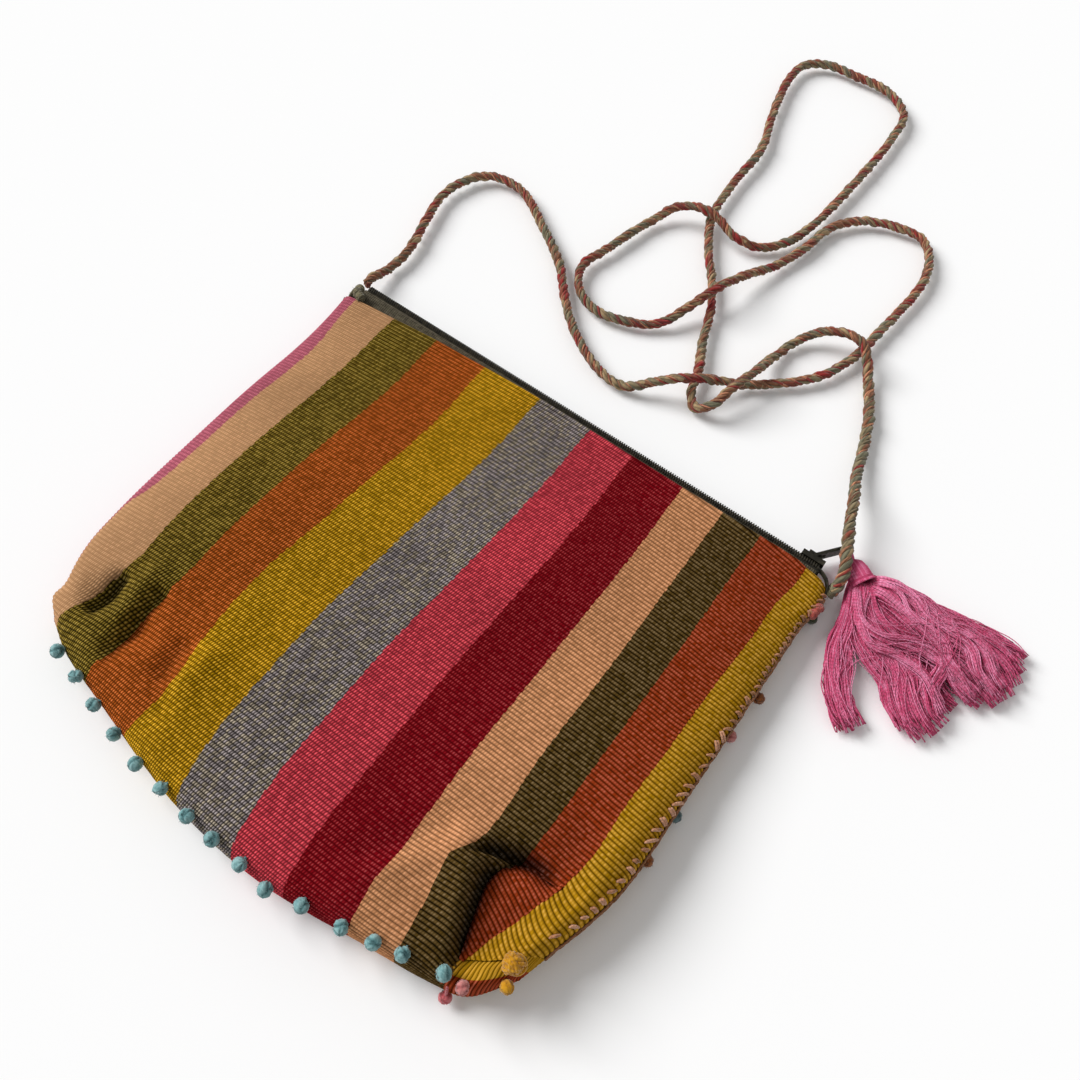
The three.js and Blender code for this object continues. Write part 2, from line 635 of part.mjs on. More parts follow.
const CORD_ROUTE = [
  [-TACK_X, CORD_END_Y, ZIP_MIDDLE], [-TACK_X, CORD_END_Y + CORD, ZIP_MIDDLE], [-107, 112, LOW],
  [-107, 125, LOW], [-112, 144, LOW], [-115, 158, LOW], [-113, 170, LOW], [-108, 178, LOW], [-100, 182, LOW],
  [-88, 181, LOW], [-73, 172, LOW], [-61, 164, LOW], [-52, 157, LOW],
  [-43, 147, LOW], [-34, 138, LOW], [-25, 131, LOW], [-14, 125, LOW],
  [-4, 122, LOW], [4, 123, LOW], [11, 128, RISE], [17, 132, OVER],
  [25, 139, OVER], [33, 146, RISE], [40, 152, LOW], [54, 164, LOW],
  [63, 175, LOW], [68, 187, LOW], [70, 196, LOW], [71, 206, LOW],
  [73, 224, LOW], [74, 241, LOW], [71, 256, LOW], [62, 266, LOW],
  [50, 265, LOW], [37, 259, LOW], [28, 247, LOW], [25, 231, LOW],
  [20, 214, LOW], [14, 200, RISE], [10, 188, OVER], [7, 179, OVER],
  [3, 169, RISE], [-3, 157, LOW], [-14, 150, LOW], [-26, 147, LOW],
  [-36, 150, LOW], [-42, 156, LOW], [-45, 165, LOW], [-42, 176, LOW],
  [-39, 190, LOW], [-35, 204, LOW], [-30, 213, RISE], [-21, 216, OVER],
  [-13, 216, OVER], [-2, 214, RISE], [9, 218, LOW], [17, 228, LOW],
  [21, 243, LOW], [23, 266, LOW], [24, 288, LOW], [24, 311, LOW],
  [21, 330, LOW], [8, 339, LOW], [-10, 339, LOW], [-24, 337, LOW],
  [-32, 330, LOW], [-33, 317, LOW], [-27, 291, LOW], [-20, 269, LOW],
  [-19, 242, LOW], [-16, 220, LOW], [-6, 201, LOW], [1, 192, LOW],
  [10, 177, LOW], [16, 161, LOW], [23, 146, LOW], [26, 136, LOW],
  [31, 131, LOW], [36, 134, RISE], [39, 144, OVER], [42, 156, OVER],
  [43, 171, LOW], [47, 185, LOW], [53, 192, RISE], [62, 195, OVER],
  [70, 194, OVER], [80, 183, LOW], [88, 168, LOW], [93, 154, LOW],
  [97, 139, RISE], [101, 127, OVER_TAB], [105, 116, OVER_TAB], [108, 109, OVER_TAB],
  [110, 105, OVER_TAB], [TACK_X, CORD_END_Y + CORD, ZIP_MIDDLE + TOUCH_GAP],
  [TACK_X, CORD_END_Y, ZIP_MIDDLE],
];

function strapCord() {
  const round = new THREE.Shape();
  round.absarc(0, 0, CORD_RADIUS, 0, 2 * Math.PI, false);
  const geometry = new THREE.ExtrudeGeometry(round, {
    extrudePath: curveThrough(CORD_ROUTE), steps: CORD_STEPS, curveSegments: CORD_SIDES, bevelEnabled: false,
  });
  return piece('strap_cord', geometry, material(KHAKI, 0.9));
}

// A wad of thread holds each end of the strap against the corner of the mouth.
function strapTack(name, side) {
  const geometry = new THREE.SphereGeometry(0.5, 10, 8);
  geometry.scale(TACK_WIDTH, TACK_LENGTH, TACK_HEIGHT);
  const mesh = piece(name, geometry, material(KHAKI, 0.9));
  mesh.position.set(side * TACK_X, MOUTH_Y + TOUCH_GAP + TACK_LENGTH / 2, ZIP_MIDDLE);
  return mesh;
}

// Pompoms sit on the cloth, out along the surface from a point near its edge.
function outwards(surface, s, t, side) {
  const step = 1e-3;
  const alongS = surface(s + step, t).sub(surface(s - step, t));
  const alongT = surface(s, t - step).sub(surface(s, t));
  return alongS.cross(alongT).normalize().multiplyScalar(side);
}

function pompom(name, colour, size, surface, s, t, side) {
  const mesh = piece(name, new THREE.IcosahedronGeometry(size / 2, 1), material(colour, 0.95));
  const away = outwards(surface, s, t, side).multiplyScalar(size / 2 + TOUCH_GAP);
  mesh.position.copy(surface(s, t)).add(away);
  return mesh;
}

function baseShare(inset) {
  return 1 - inset / POUCH_HEIGHT;
}

function numbered(stem, index) {
  return `${stem}_${String(index + 1).padStart(2, '0')}`;
}

// The front row is sewn along the base: at its edge on the folded side, higher up on the seam side.
// Each place is a share across the bag and an inset from the base.
function frontPompoms() {
  const places = [
    [0.062, 0.8], [0.123, 1.4], [0.176, 0.5], [0.237, 0.3], [0.306, 1],
    [0.368, 1.8], [0.431, 2.4], [0.485, 2.6], [0.54, 1.8], [0.591, 1.2],
    [0.651, 2], [0.717, 2.4], [0.768, 3.2], [0.812, 4], [0.872, 4.2],
  ];
  return places.map(([s, inset], i) => (
    pompom(numbered('front_pompom', i), TEAL, POMPOM, topPoint, s, baseShare(inset), 1)
  ));
}

// The side row shows under the seam, one colour after another: a share down the seam and an inset from it.
function sidePompoms() {
  const places = [
    [0.072, 0.6, DARK_GREEN], [0.29, 0.7, RUST], [0.388, 1.3, PALE_PINK],
    [0.581, 1.7, GREY_TEAL], [0.68, 1.6, RUST],
  ];
  return places.map(([t, inset, colour], i) => (
    pompom(numbered('side_pompom', i), colour, SIDE_POMPOM, underPoint, 1 - inset / POUCH_WIDTH, t, -1)
  ));
}

// The folded corner carries two pink pompoms on its edge and two yellow ones on its end.
function cornerPompoms() {
  return [
    pompom('corner_pompom_pink_01', PALE_PINK, POMPOM, topPoint, 0.907, baseShare(3.3), 1),
    pompom('corner_pompom_pink_02', PALE_PINK, POMPOM, underPoint, 0.891, baseShare(0.6), -1),
    pompom('corner_pompom_yellow_01', YELLOW, POMPOM, topPoint, 0.944, 0.929, 1),
    pompom('corner_pompom_yellow_02', YELLOW, POMPOM, topPoint, 0.966, 0.985, 1),
  ];
}

const bag = new THREE.Group();
bag.add(pouch());
bag.add(zipTape('zip_tape_front', 1), zipTape('zip_tape_back', -1));
bag.add(zipCoil('zip_coil_front', 1), zipCoil('zip_coil_back', -1));
bag.add(slider());
bag.add(strapTack('strap_tack_left', -1), strapTack('strap_tack_right', 1));
bag.add(strapCord());
bag.add(...frontPompoms(), ...sidePompoms(), ...cornerPompoms());

const pull = new THREE.Group();
pull.position.set(SLIDER_X, HINGE_Y, ZIP_MIDDLE);
pull.rotation.z = TAB_ANGLE;
pull.add(pullTab());
bag.add(pull);

const tassel = new THREE.Group();
tassel.position.set(EYE_MIDDLE, 0, 0);
tassel.rotation.z = -Math.PI / 2;
tassel.add(tasselThreads(), tasselBinding());
pull.add(tassel);

export default bag;
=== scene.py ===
"""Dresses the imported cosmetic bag: striped woven pouch, zip, twisted strap, thread tassel and pompoms."""
import math

import bpy
import numpy as np
from mathutils import Matrix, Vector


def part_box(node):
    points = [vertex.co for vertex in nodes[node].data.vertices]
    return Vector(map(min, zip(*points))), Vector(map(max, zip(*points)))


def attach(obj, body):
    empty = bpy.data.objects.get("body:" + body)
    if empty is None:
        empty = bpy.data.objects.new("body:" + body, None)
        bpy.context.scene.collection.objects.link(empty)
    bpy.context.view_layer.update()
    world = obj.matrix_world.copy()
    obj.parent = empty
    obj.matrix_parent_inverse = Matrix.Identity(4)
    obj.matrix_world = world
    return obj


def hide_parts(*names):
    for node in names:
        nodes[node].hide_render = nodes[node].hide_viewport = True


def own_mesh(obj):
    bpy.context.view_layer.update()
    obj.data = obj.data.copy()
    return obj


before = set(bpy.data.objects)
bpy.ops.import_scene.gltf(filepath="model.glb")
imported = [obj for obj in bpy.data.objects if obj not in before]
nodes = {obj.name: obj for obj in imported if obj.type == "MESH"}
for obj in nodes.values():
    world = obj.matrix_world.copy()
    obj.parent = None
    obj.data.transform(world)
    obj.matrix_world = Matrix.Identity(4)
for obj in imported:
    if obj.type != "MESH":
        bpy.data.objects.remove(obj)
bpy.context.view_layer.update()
scene = bpy.context.scene
rng = np.random.default_rng(11)
MM = .001
TURN = 2 * math.pi
WHITE = (1, 1, 1, 1)


# Helpers for numbers and curves. All shapes are worked out in millimetres.

def smooth(a, b, v):
    x = np.clip((v - a) / (b - a), 0, 1)
    return x * x * (3 - 2 * x)


def lerp(a, b, k):
    return a + (b - a) * k


def unit(v):
    return v / np.maximum(np.linalg.norm(v, axis=-1, keepdims=True), 1e-12)


def through(points, x):
    """The value at x of a line through points (x, value)."""
    return np.interp(x, *np.transpose(points))


def circle(a, b, angle):
    return a * np.cos(angle)[:, None] + b * np.sin(angle)[:, None]


def catmull(points, per=40):
    p = np.asarray(points, float)
    ends = np.vstack([2 * p[0] - p[1], p, 2 * p[-1] - p[-2]])
    w = np.linspace(0, 1, per, endpoint=False)[:, None]
    out = []
    for p0, p1, p2, p3 in zip(ends[:-3], ends[1:-2], ends[2:-1], ends[3:]):
        d0, d1, d2 = (max(np.linalg.norm(b - a) ** .5, 1e-4) for a, b in ((p0, p1), (p1, p2), (p2, p3)))
        t1 = ((p1 - p0) / d0 - (p2 - p0) / (d0 + d1) + (p2 - p1) / d1) * d1
        t2 = ((p2 - p1) / d1 - (p3 - p1) / (d1 + d2) + (p3 - p2) / d2) * d1
        out.append(p1 + t1 * w + (3 * (p2 - p1) - 2 * t1 - t2) * w ** 2 + (2 * (p1 - p2) + t1 + t2) * w ** 3)
    return np.vstack(out + [p[-1:]])


def arc_lengths(p):
    return np.concatenate([[0], np.cumsum(np.linalg.norm(np.diff(p, axis=0), axis=1))])


def respaced(p, count):
    a = arc_lengths(p)
    at = np.linspace(0, a[-1], count)
    return np.stack([np.interp(at, a, p[:, k]) for k in range(p.shape[1])], -1)


# Camera at the photograph's viewing angle.

AZIMUTH, ELEVATION, ROLL = np.radians([31.10, 62.19, 5.33])
LOOK_AT = np.array([16.1, 48.5, 0.0])
DISTANCE = 401.0
LENS, SENSOR = 36.67, 36.0


def placed(name, data, right, up, back, place=(0, 0, 0)):
    """Puts a camera or a lamp into the scene, looking away from back."""
    obj = bpy.data.objects.new(name, data)
    rows = [[*axes, at] for axes, at in zip(np.stack([right, up, back], 1), place)]
    obj.matrix_world = Matrix(rows + [[0, 0, 0, 1]])
    scene.collection.objects.link(obj)
    return obj


def add_camera():
    flat = math.cos(ELEVATION)
    back = np.array([math.sin(AZIMUTH) * flat, -math.cos(AZIMUTH) * flat, math.sin(ELEVATION)])
    level = np.array([math.cos(AZIMUTH), math.sin(AZIMUTH), 0.0])
    upright = np.cross(back, level)
    right = math.cos(ROLL) * level + math.sin(ROLL) * upright
    up = math.cos(ROLL) * upright - math.sin(ROLL) * level
    data = bpy.data.cameras.new("camera")
    data.lens, data.sensor_width, data.sensor_fit = LENS, SENSOR, "HORIZONTAL"
    data.clip_start = .01
    scene.camera = placed("camera", data, right, up, back, (LOOK_AT + DISTANCE * back) * MM)


add_camera()


# Materials: each one is a small node tree around a Principled shader.

def linear(rgb):
    c = np.asarray(rgb, float) / 255
    return tuple(np.where(c <= .04045, c / 12.92, ((c + .055) / 1.055) ** 2.4)) + (1.0,)


def evenly(values):
    return [(i / len(values), value) for i, value in enumerate(values)]


class Tree:
    """A node tree. What goes into a node is a number, a colour or another node's socket."""

    def __init__(self, tree):
        self.tree = tree

    def put(self, socket, value):
        if isinstance(value, bpy.types.NodeSocket):
            self.tree.links.new(value, socket)
        else:
            socket.default_value = value

    def add(self, kind, *values, out=0, **settings):
        node = self.tree.nodes.new("ShaderNode" + kind)
        for key, value in settings.items():
            setattr(node, key, value)
        for socket, value in zip(node.inputs, values):
            self.put(socket, value)
        return node.outputs[out]

    def math(self, operation, *values):
        return self.add("Math", *values, operation=operation)


class Shader(Tree):
    def __init__(self, name, roughness, sheen=0.0, specular=.2, metallic=0.0):
        self.material = bpy.data.materials.new(name)
        self.material.use_nodes = True
        super().__init__(self.material.node_tree)
        self.surface = self.tree.nodes["Principled BSDF"].inputs
        self.surface["Roughness"].default_value = roughness
        self.surface["Specular IOR Level"].default_value = specular
        self.surface["Sheen Weight"].default_value = sheen
        self.surface["Metallic"].default_value = metallic

    def plus(self, a, b):
        return self.math("ADD", a, b)

    def times(self, a, b):
        return self.math("MULTIPLY", a, b)

    def scaled(self, a, by, offset):
        return self.math("MULTIPLY_ADD", a, by, offset)

    def floor(self, a):
        return self.math("FLOOR", a)

    def fract(self, a):
        return self.math("FRACT", a)

    def wave(self, a, period=1.0):
        return self.math("SINE", self.times(a, TURN / period))

    def uv(self, name):
        split = self.add("SeparateXYZ", self.add("UVMap", uv_map=name)).node
        return split.outputs[0], split.outputs[1]

    def chance(self, x, y):
        return self.add("TexWhiteNoise", self.add("CombineXYZ", x, y, 0.0), noise_dimensions="2D")

    def noise(self, scale, detail=3.0, vector=None):
        if vector is None:
            vector = self.add("TexCoord", out=3)
        node = self.add("TexNoise", vector).node
        node.inputs["Scale"].default_value = scale
        node.inputs["Detail"].default_value = detail
        return node.outputs[0]

    def ramp(self, factor, stops, interpolation="LINEAR"):
        """Colours, or plain numbers up to 1, by place. Places are set first, since they sort the stops."""
        node = self.add("ValToRGB", factor).node
        node.color_ramp.interpolation = interpolation
        stones = node.color_ramp.elements
        while len(stones) < len(stops):
            stones.new(.5)
        for stone, (place, _) in zip(stones, stops):
            stone.position = place
        for stone, (_, dye) in zip(stones, stops):
            stone.color = linear(dye) if np.ndim(dye) else (dye, dye, dye, 1.0)
        return node.outputs[0]

    def mix(self, factor, a, b, blend="MIX"):
        return self.add("MixRGB", factor, a, b, blend_type=blend)

    def shaded(self, dye, light):
        return self.mix(1.0, dye, self.add("CombineColor", light, light, light), "MULTIPLY")

    def grade(self, value, low, high, start=0.0, end=1.0):
        return self.add("MapRange", value, start, end, low, high)

    def done(self, colour, height=None, depth=0.0, rough=None):
        """The material, with its colour and where given a bump of some depth and a varied roughness."""
        self.put(self.surface["Base Color"], colour)
        if rough is not None:
            self.put(self.surface["Roughness"], rough)
        if height is not None:
            bump = self.tree.nodes.new("ShaderNodeBump")
            bump.inputs["Distance"].default_value = depth * MM
            self.put(bump.inputs["Height"], height)
            self.put(self.surface["Normal"], bump.outputs[0])
        return self.material


# Woven cloth: the stripes run down the bag, the ribs run across it.

# Each stripe's dye, and how strongly the weave's painted shade and random tone show in it: pale stripes hide
# them.
STRIPES = [
    ((160, 82, 97), .9), ((176, 133, 94), .65), ((101, 83, 24), 2.8), ((145, 70, 18), 2.0),
    ((157, 117, 10), 2.1), ((109, 101, 100), 2.6), ((166, 50, 60), 1.8), ((106, 4, 14), 1.4),
    ((167, 115, 77), 1.4), ((61, 45, 14), 3.1), ((119, 42, 10), 1.8), ((144, 105, 10), 1.7),
]
SWING_TOP = 4.0
GREY_STRIPE, GREY_FLECK = 5.0, (132, 120, 88)
# Between these stripes the weave changes from open threads to close ones.
CLOSER = 6.5, 8.6
RIB = 1.53
THREAD, THREAD_SHIFT = .9, .45
# The colour of the painted highlight on the brightest thread crests.
GLINT_COLOUR = (1.0, .94, .86, 1.0)


def cloth_material():
    """The uv maps hold (stripe, rib) and (place along the rib, depth of the hollow)."""
    m = Shader("woven_cloth", .9, specular=.03)
    stripe, rib_place = m.uv("Cloth")
    along, hollow = m.uv("Thread")
    rib = m.floor(rib_place)
    place = m.scaled(along, 1 / THREAD, m.times(rib_place, THREAD_SHIFT))
    place = m.scaled(m.chance(rib, 3.0), .25, place)
    grain = m.floor(place)
    luck = m.chance(grain, rib)
    stripe = m.plus(stripe, m.scaled(m.chance(rib, 9.0), .024, -.012))
    number = m.math("DIVIDE", stripe, float(len(STRIPES)))
    dye = m.ramp(number, evenly([dye for dye, _ in STRIPES]), "CONSTANT")
    swing = m.ramp(number, evenly([swing / SWING_TOP for _, swing in STRIPES]), "CONSTANT")
    # Thread crests are painted lighter and the hollows between ribs and threads darker: painted highlight and
    # shade, with a random tone per grain.
    crest = m.math("POWER", m.wave(m.fract(rib_place), 2.0), .8)
    ripple = m.math("COSINE", m.times(m.fract(place), TURN))
    gap = m.times(m.grade(ripple, 0.0, 1.0, -1.0, 1.0), m.grade(stripe, .85, .24, *CLOSER))
    body = m.times(crest, m.math("SUBTRACT", 1.0, gap))
    chancy = m.scaled(m.grade(luck, -1.0, 1.0), m.grade(stripe, .35, .22, *CLOSER), 1.0)
    uneven = m.plus(m.times(body, chancy), m.grade(stripe, -.4, -.5, *CLOSER))
    # Darker where the small folds dip: painted shade in the creases, over a slow random tone.
    tone_and_crease_shade = m.times(m.grade(m.noise(28.0, 5.0), .9, 1.1, .3, .7), m.grade(hollow, 1.0, .3, .8, 5.0))
    weave_tone_and_shade = m.scaled(uneven, m.times(swing, SWING_TOP), 1.0)
    light = m.times(m.math("MAXIMUM", weave_tone_and_shade, .08), tone_and_crease_shade)
    is_grey = m.math("COMPARE", m.floor(stripe), GREY_STRIPE, .1)
    fleck = m.times(m.math("GREATER_THAN", m.chance(grain, m.plus(rib, .5)), .55), is_grey)
    dye = m.mix(m.times(fleck, .4), dye, linear(GREY_FLECK))
    # Painted highlight: the brightest thread crests turn whitish.
    painted_glint = m.times(m.math("POWER", body, 4.0), m.grade(luck, 0.0, .075))
    return m.done(m.mix(painted_glint, m.shaded(dye, light), GLINT_COLOUR), body, .2)


def yarn_material(name, dark, mid, pale, sheen=.3):
    """Wool or thread: colour drifts from thread to thread and fibres catch the light."""
    m = Shader(name, .9, sheen=sheen)
    tint, along = m.uv("Yarn")
    value = m.plus(m.times(tint, .55), m.times(m.noise(420.0, 4.0), .45))
    fibres = m.plus(m.times(m.wave(along), .5), m.noise(2600.0, 3.0))
    return m.done(m.ramp(value, [(.12, dark), (.5, mid), (.9, pale)]), fibres, .12)


# Where along the strap its red fades out and its strands grow plumper.
CORD_PALE_END = 1130.0, 1210.0
PLIES = 4.0
THICK_DYES = [
    (0.0, (110, 106, 84)), (.16, (128, 114, 86)), (.34, (154, 130, 96)), (.48, (124, 82, 58)),
    (.6, (126, 64, 48)), (.78, (142, 44, 40)),
]
THIN_DYES = [(0.0, (112, 100, 76)), (.2, (146, 100, 72)), (.4, (184, 124, 92)), (.6, (140, 54, 46))]


def cord_material():
    """Plied strands: the thick ones of khaki and grey-green yarns, the thin ones of peach and red."""
    m = Shader("strap_thread", .88, sheen=.2)
    turn, along = m.uv("Yarn")
    strand = m.floor(turn)
    ply = m.plus(m.times(m.fract(turn), PLIES), m.times(along, .22))
    piece = m.floor(m.scaled(along, .07, m.times(strand, .37)))
    luck = m.chance(m.math("MODULO", m.floor(ply), PLIES), m.scaled(strand, 7.0, piece))
    stretch = m.noise(1.0, 2.0, m.add("CombineXYZ", m.times(along, .035), strand, 0.0))
    pick = m.scaled(stretch, 2.6, m.scaled(luck, .55, -1.12))
    pick = m.math("SUBTRACT", pick, m.grade(along, 0.0, .2, *CORD_PALE_END))
    is_thin = m.math("GREATER_THAN", strand, 1.5)
    dye = m.mix(is_thin, *(m.ramp(pick, dyes, "CONSTANT") for dyes in (THICK_DYES, THIN_DYES)))
    hump = m.wave(m.fract(ply), 2.0)
    light = m.times(m.grade(hump, .62, 1.12), m.grade(m.noise(900.0, 4.0), .8, 1.2, .25, .75))
    return m.done(m.shaded(dye, light), m.plus(hump, m.times(m.noise(2400.0, 3.0), .6)), .2)


def tape_material():
    m = Shader("zip_tape", .85, specular=.1)
    along, across = m.uv("Yarn")
    line = m.wave(along, .85)
    value = m.scaled(line, .16, m.scaled(m.wave(across), .06, m.noise(700.0, 4.0)))
    return m.done(m.ramp(value, [(.2, (44, 40, 32)), (.5, (76, 70, 57)), (.85, (106, 99, 83))]), line, .08)


def coil_material():
    m = Shader("zip_coil", .5, specular=.12)
    value = m.noise(700.0, 3.0)
    dye = m.ramp(value, [(.3, (20, 19, 15)), (.7, (58, 53, 42))])
    return m.done(dye, rough=m.grade(value, .35, .6))


def metal_material():
    m = Shader("blackened_metal", .38, specular=.5, metallic=.85)
    fine = m.noise(1600.0, 4.0)
    dye = m.ramp(m.noise(240.0, 6.0), [(.25, (22, 22, 18)), (.55, (40, 38, 31)), (.8, (86, 80, 64))])
    return m.done(dye, fine, .03, m.grade(fine, .28, .55, .3, .7))


# Pieces.

def make(name, points, faces, material, slot, uvs, body="bag", stands_for=()):
    """A piece that rides on a body and is drawn in place of the nodes it stands for."""
    mesh = bpy.data.meshes.new(name)
    mesh.from_pydata((np.asarray(points) * MM).tolist(), [], faces)
    mesh.polygons.foreach_set("use_smooth", [True] * len(mesh.polygons))
    corners = np.zeros(len(mesh.loops), int)
    mesh.loops.foreach_get("vertex_index", corners)
    for key, values in uvs.items():
        layer = mesh.uv_layers.new(name=key)
        layer.data.foreach_set("uv", np.asarray(values, float)[corners].ravel())
    mesh.materials.append(material)
    mesh.update()
    obj = bpy.data.objects.new(name, mesh)
    scene.collection.objects.link(obj)
    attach(obj, body)
    if stands_for:
        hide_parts(*stands_for)
    return obj


def framing(path):
    """A steady sideways and upward direction at each point of a path."""
    along = unit(np.gradient(path, axis=0))
    side = np.zeros_like(path)
    first = np.array([0, 0, 1.0]) if abs(along[0][2]) < .9 else np.array([1.0, 0, 0])
    side[0] = unit(np.cross(along[0], first))
    for i in range(1, len(path)):
        side[i] = unit(side[i - 1] - along[i] * (side[i - 1] @ along[i]))
    return side, np.cross(along, side)


def skin(rings, sides, turned=False):
    """Faces over rings of points, each ring joined to the next, and both ends closed."""
    faces = [
        [i * sides + k, i * sides + (k + 1) % sides, (i + 1) * sides + (k + 1) % sides, (i + 1) * sides + k]
        for i in range(rings - 1) for k in range(sides)
    ]
    faces += [list(range(sides))[::-1], [(rings - 1) * sides + k for k in range(sides)]]
    return [face[:1] + face[:0:-1] for face in faces] if turned else faces


def tube(path, radius, sides=6, tint=.5, pitch=1.0):
    """A round thread along a path. Its uv is (tint, turns of twist along it)."""
    side, up = framing(path)
    n = len(path)
    radius = np.broadcast_to(np.asarray(radius, float), (n,))
    turn = np.arange(sides) * TURN / sides
    ring = side[:, None] * np.cos(turn)[None, :, None] + up[:, None] * np.sin(turn)[None, :, None]
    points = (path[:, None] + ring * radius[:, None, None]).reshape(-1, 3)
    twist = np.repeat(arc_lengths(path) / pitch, sides) + np.tile(np.arange(sides) / sides, n)
    return points, skin(n, sides), np.stack([np.full(n * sides, tint), twist], -1)


class Heap:
    """Gathers several shapes into one mesh."""

    def __init__(self):
        self.points, self.faces, self.uv, self.count = [], [], [], 0

    def add(self, points, faces, uv):
        self.faces += [[i + self.count for i in face] for face in faces]
        self.points.append(points)
        self.uv.append(uv)
        self.count += len(points)

    def thread(self, *shape, **look):
        self.add(*tube(*shape, **look))

    def make(self, name, material, slot, *stands_for, body="bag"):
        uvs = {"Yarn": np.vstack(self.uv)}
        return make(name, np.vstack(self.points), self.faces, material, slot, uvs, body, stands_for)


# The strap: one long cord of twisted strands, on the same route as its solid.

CORD = 4.2
LOW, RISE, OVER, OVER_TAB = 2.4, 5.34, 8.28, 10.1
TACK_X, CORD_END_Y, ZIP_MIDDLE = 108.0, 99.1, 4.5
TWIST = 8.6
CORD_STEP, STRAND_SIDES = .78, 8
# Two thick strands and two thin ones in the grooves between them, as (turn, reach, radius).
STRANDS = [(0.0, .96, 1.1), (.5, .96, 1.1), (.24, 1.3, .6), (.76, 1.2, .54)]
# A point without a height lies low, on the table.
CORD_ROUTE = [
    (-TACK_X, CORD_END_Y, ZIP_MIDDLE), (-TACK_X, CORD_END_Y + CORD, ZIP_MIDDLE), (-107, 112), (-107, 125),
    (-112, 144), (-115, 158), (-113, 170), (-108, 178), (-100, 182), (-88, 181), (-73, 172), (-61, 164),
    (-52, 157), (-43, 147), (-34, 138), (-25, 131), (-14, 125), (-4, 122), (4, 123), (11, 128, RISE),
    (17, 132, OVER), (25, 139, OVER), (33, 146, RISE), (40, 152), (54, 164), (63, 175), (68, 187),
    (70, 196), (71, 206), (73, 224), (74, 241), (71, 256), (62, 266), (50, 265), (37, 259), (28, 247),
    (25, 231), (20, 214), (14, 200, RISE), (10, 188, OVER), (7, 179, OVER), (3, 169, RISE), (-3, 157),
    (-14, 150), (-26, 147), (-36, 150), (-42, 156), (-45, 165), (-42, 176), (-39, 190), (-35, 204),
    (-30, 213, RISE), (-21, 216, OVER), (-13, 216, OVER), (-2, 214, RISE), (9, 218), (17, 228), (21, 243),
    (23, 266), (24, 288), (24, 311), (21, 330), (8, 339), (-10, 339), (-24, 337), (-32, 330), (-33, 317),
    (-27, 291), (-20, 269), (-19, 242), (-16, 220), (-6, 201), (1, 192), (10, 177), (16, 161), (23, 146),
    (26, 136), (31, 131), (36, 134, RISE), (39, 144, OVER), (42, 156, OVER), (43, 171), (47, 185),
    (53, 192, RISE), (62, 195, OVER), (70, 194, OVER), (80, 183), (88, 168), (93, 154), (97, 139, RISE),
    (101, 127, OVER_TAB), (104.5, 117, OVER_TAB), (107.6, 110, OVER_TAB), (109.8, 105, OVER_TAB),
    (111.6, 101, 9.2), (112.8, 97.4, 7.6), (113, 94, 6), (112.6, 91.6, 5),
]


def add_strap():
    path = catmull([(*point, LOW)[:3] for point in CORD_ROUTE], 24)
    length = arc_lengths(path)[-1]
    path = respaced(path, int(length / CORD_STEP))
    side, up = framing(path)
    at = arc_lengths(path)

    def uneven(knots, spread):
        return np.interp(at, np.linspace(0, at[-1], knots), 1 + spread * rng.standard_normal(knots))

    heap = Heap()
    pace = np.cumsum(uneven(110, .17))
    plump = 1 + .22 * smooth(*CORD_PALE_END, at)
    around = np.tile(np.arange(STRAND_SIDES) / STRAND_SIDES, len(path))
    for k, (turn, reach, radius) in enumerate(STRANDS):
        lumps, loose = uneven(420, .12), uneven(260, .1)
        out = circle(side, up, TURN * (pace * (at[1] / TWIST) + turn))
        middle = path + out * (reach * loose * plump)[:, None]
        points, faces, _ = tube(middle, radius * lumps * lerp(1, plump, .5), STRAND_SIDES)
        heap.add(points, faces, np.stack([k + .999 * around, np.repeat(at, STRAND_SIDES)], -1))
    strap = heap.make("strap_visual", cord_material(), "strap_thread", "strap_cord")


add_strap()


# The pouch's surface: the same outline, thickness and folds as its solid, with two soft bulges more.

WIDTH, HEIGHT, BOW = 220.0, 185.0, 9.0
HALF, MOUTH_Y = WIDTH / 2, HEIGHT / 2
MOUTH, MIDDLE, BASE = 9.0, 13.0, 19.0
MOUTH_ROUND, FOLD_ROUND, SEAM_ROUND = 5.0, 30.0, 12.0
BASE_AT_FOLD, BASE_AT_SEAM, UNDER_ROUND = 14.0, 5.0, 8.0
FOLD_RIM, SEAM_RIM, BASE_RIM = 5.0, 7.0, 5.0
LEFT_SINK, BASE_SINK = 4.0, 2.9
# The bulges as (how far out, place of the middle, reach to either side).
LEFT_BULGE, RIGHT_BULGE = (3.7, 20 - MOUTH_Y, 4.4), (2.2, MOUTH_Y - 9, 7)


def edge(points):
    """A curve on the table, as a function of the share of its length."""
    p = catmull(points, 90)
    lengths = arc_lengths(p)
    return lambda share: np.stack([np.interp(share, lengths / lengths[-1], p[:, k]) for k in range(2)], -1)


def side_edge(sign, insets):
    return edge([(sign * (HALF - inset), MOUTH_Y - share * HEIGHT) for inset, share in insets])


left_edge = side_edge(-1, [(0, 0), (2, .16), (.5, .36), (2, .7), (3.5, .785), (7.5, .85), (16, .93)])
right_edge = side_edge(1, [(0, 0), (0, .25), (.5, .5), (1, .7), (4, .78), (8, .85), (12, .92)])
base_edge = edge([(share * WIDTH - HALF, -MOUTH_Y - out) for share, out in [
    (.067, -14), (.115, -8.5), (.22, -2.5), (.42, .8 * BOW), (.58, BOW), (.74, .5 * BOW), (.86, .5),
    (.905, -2.5), (.95, -15.2)]])

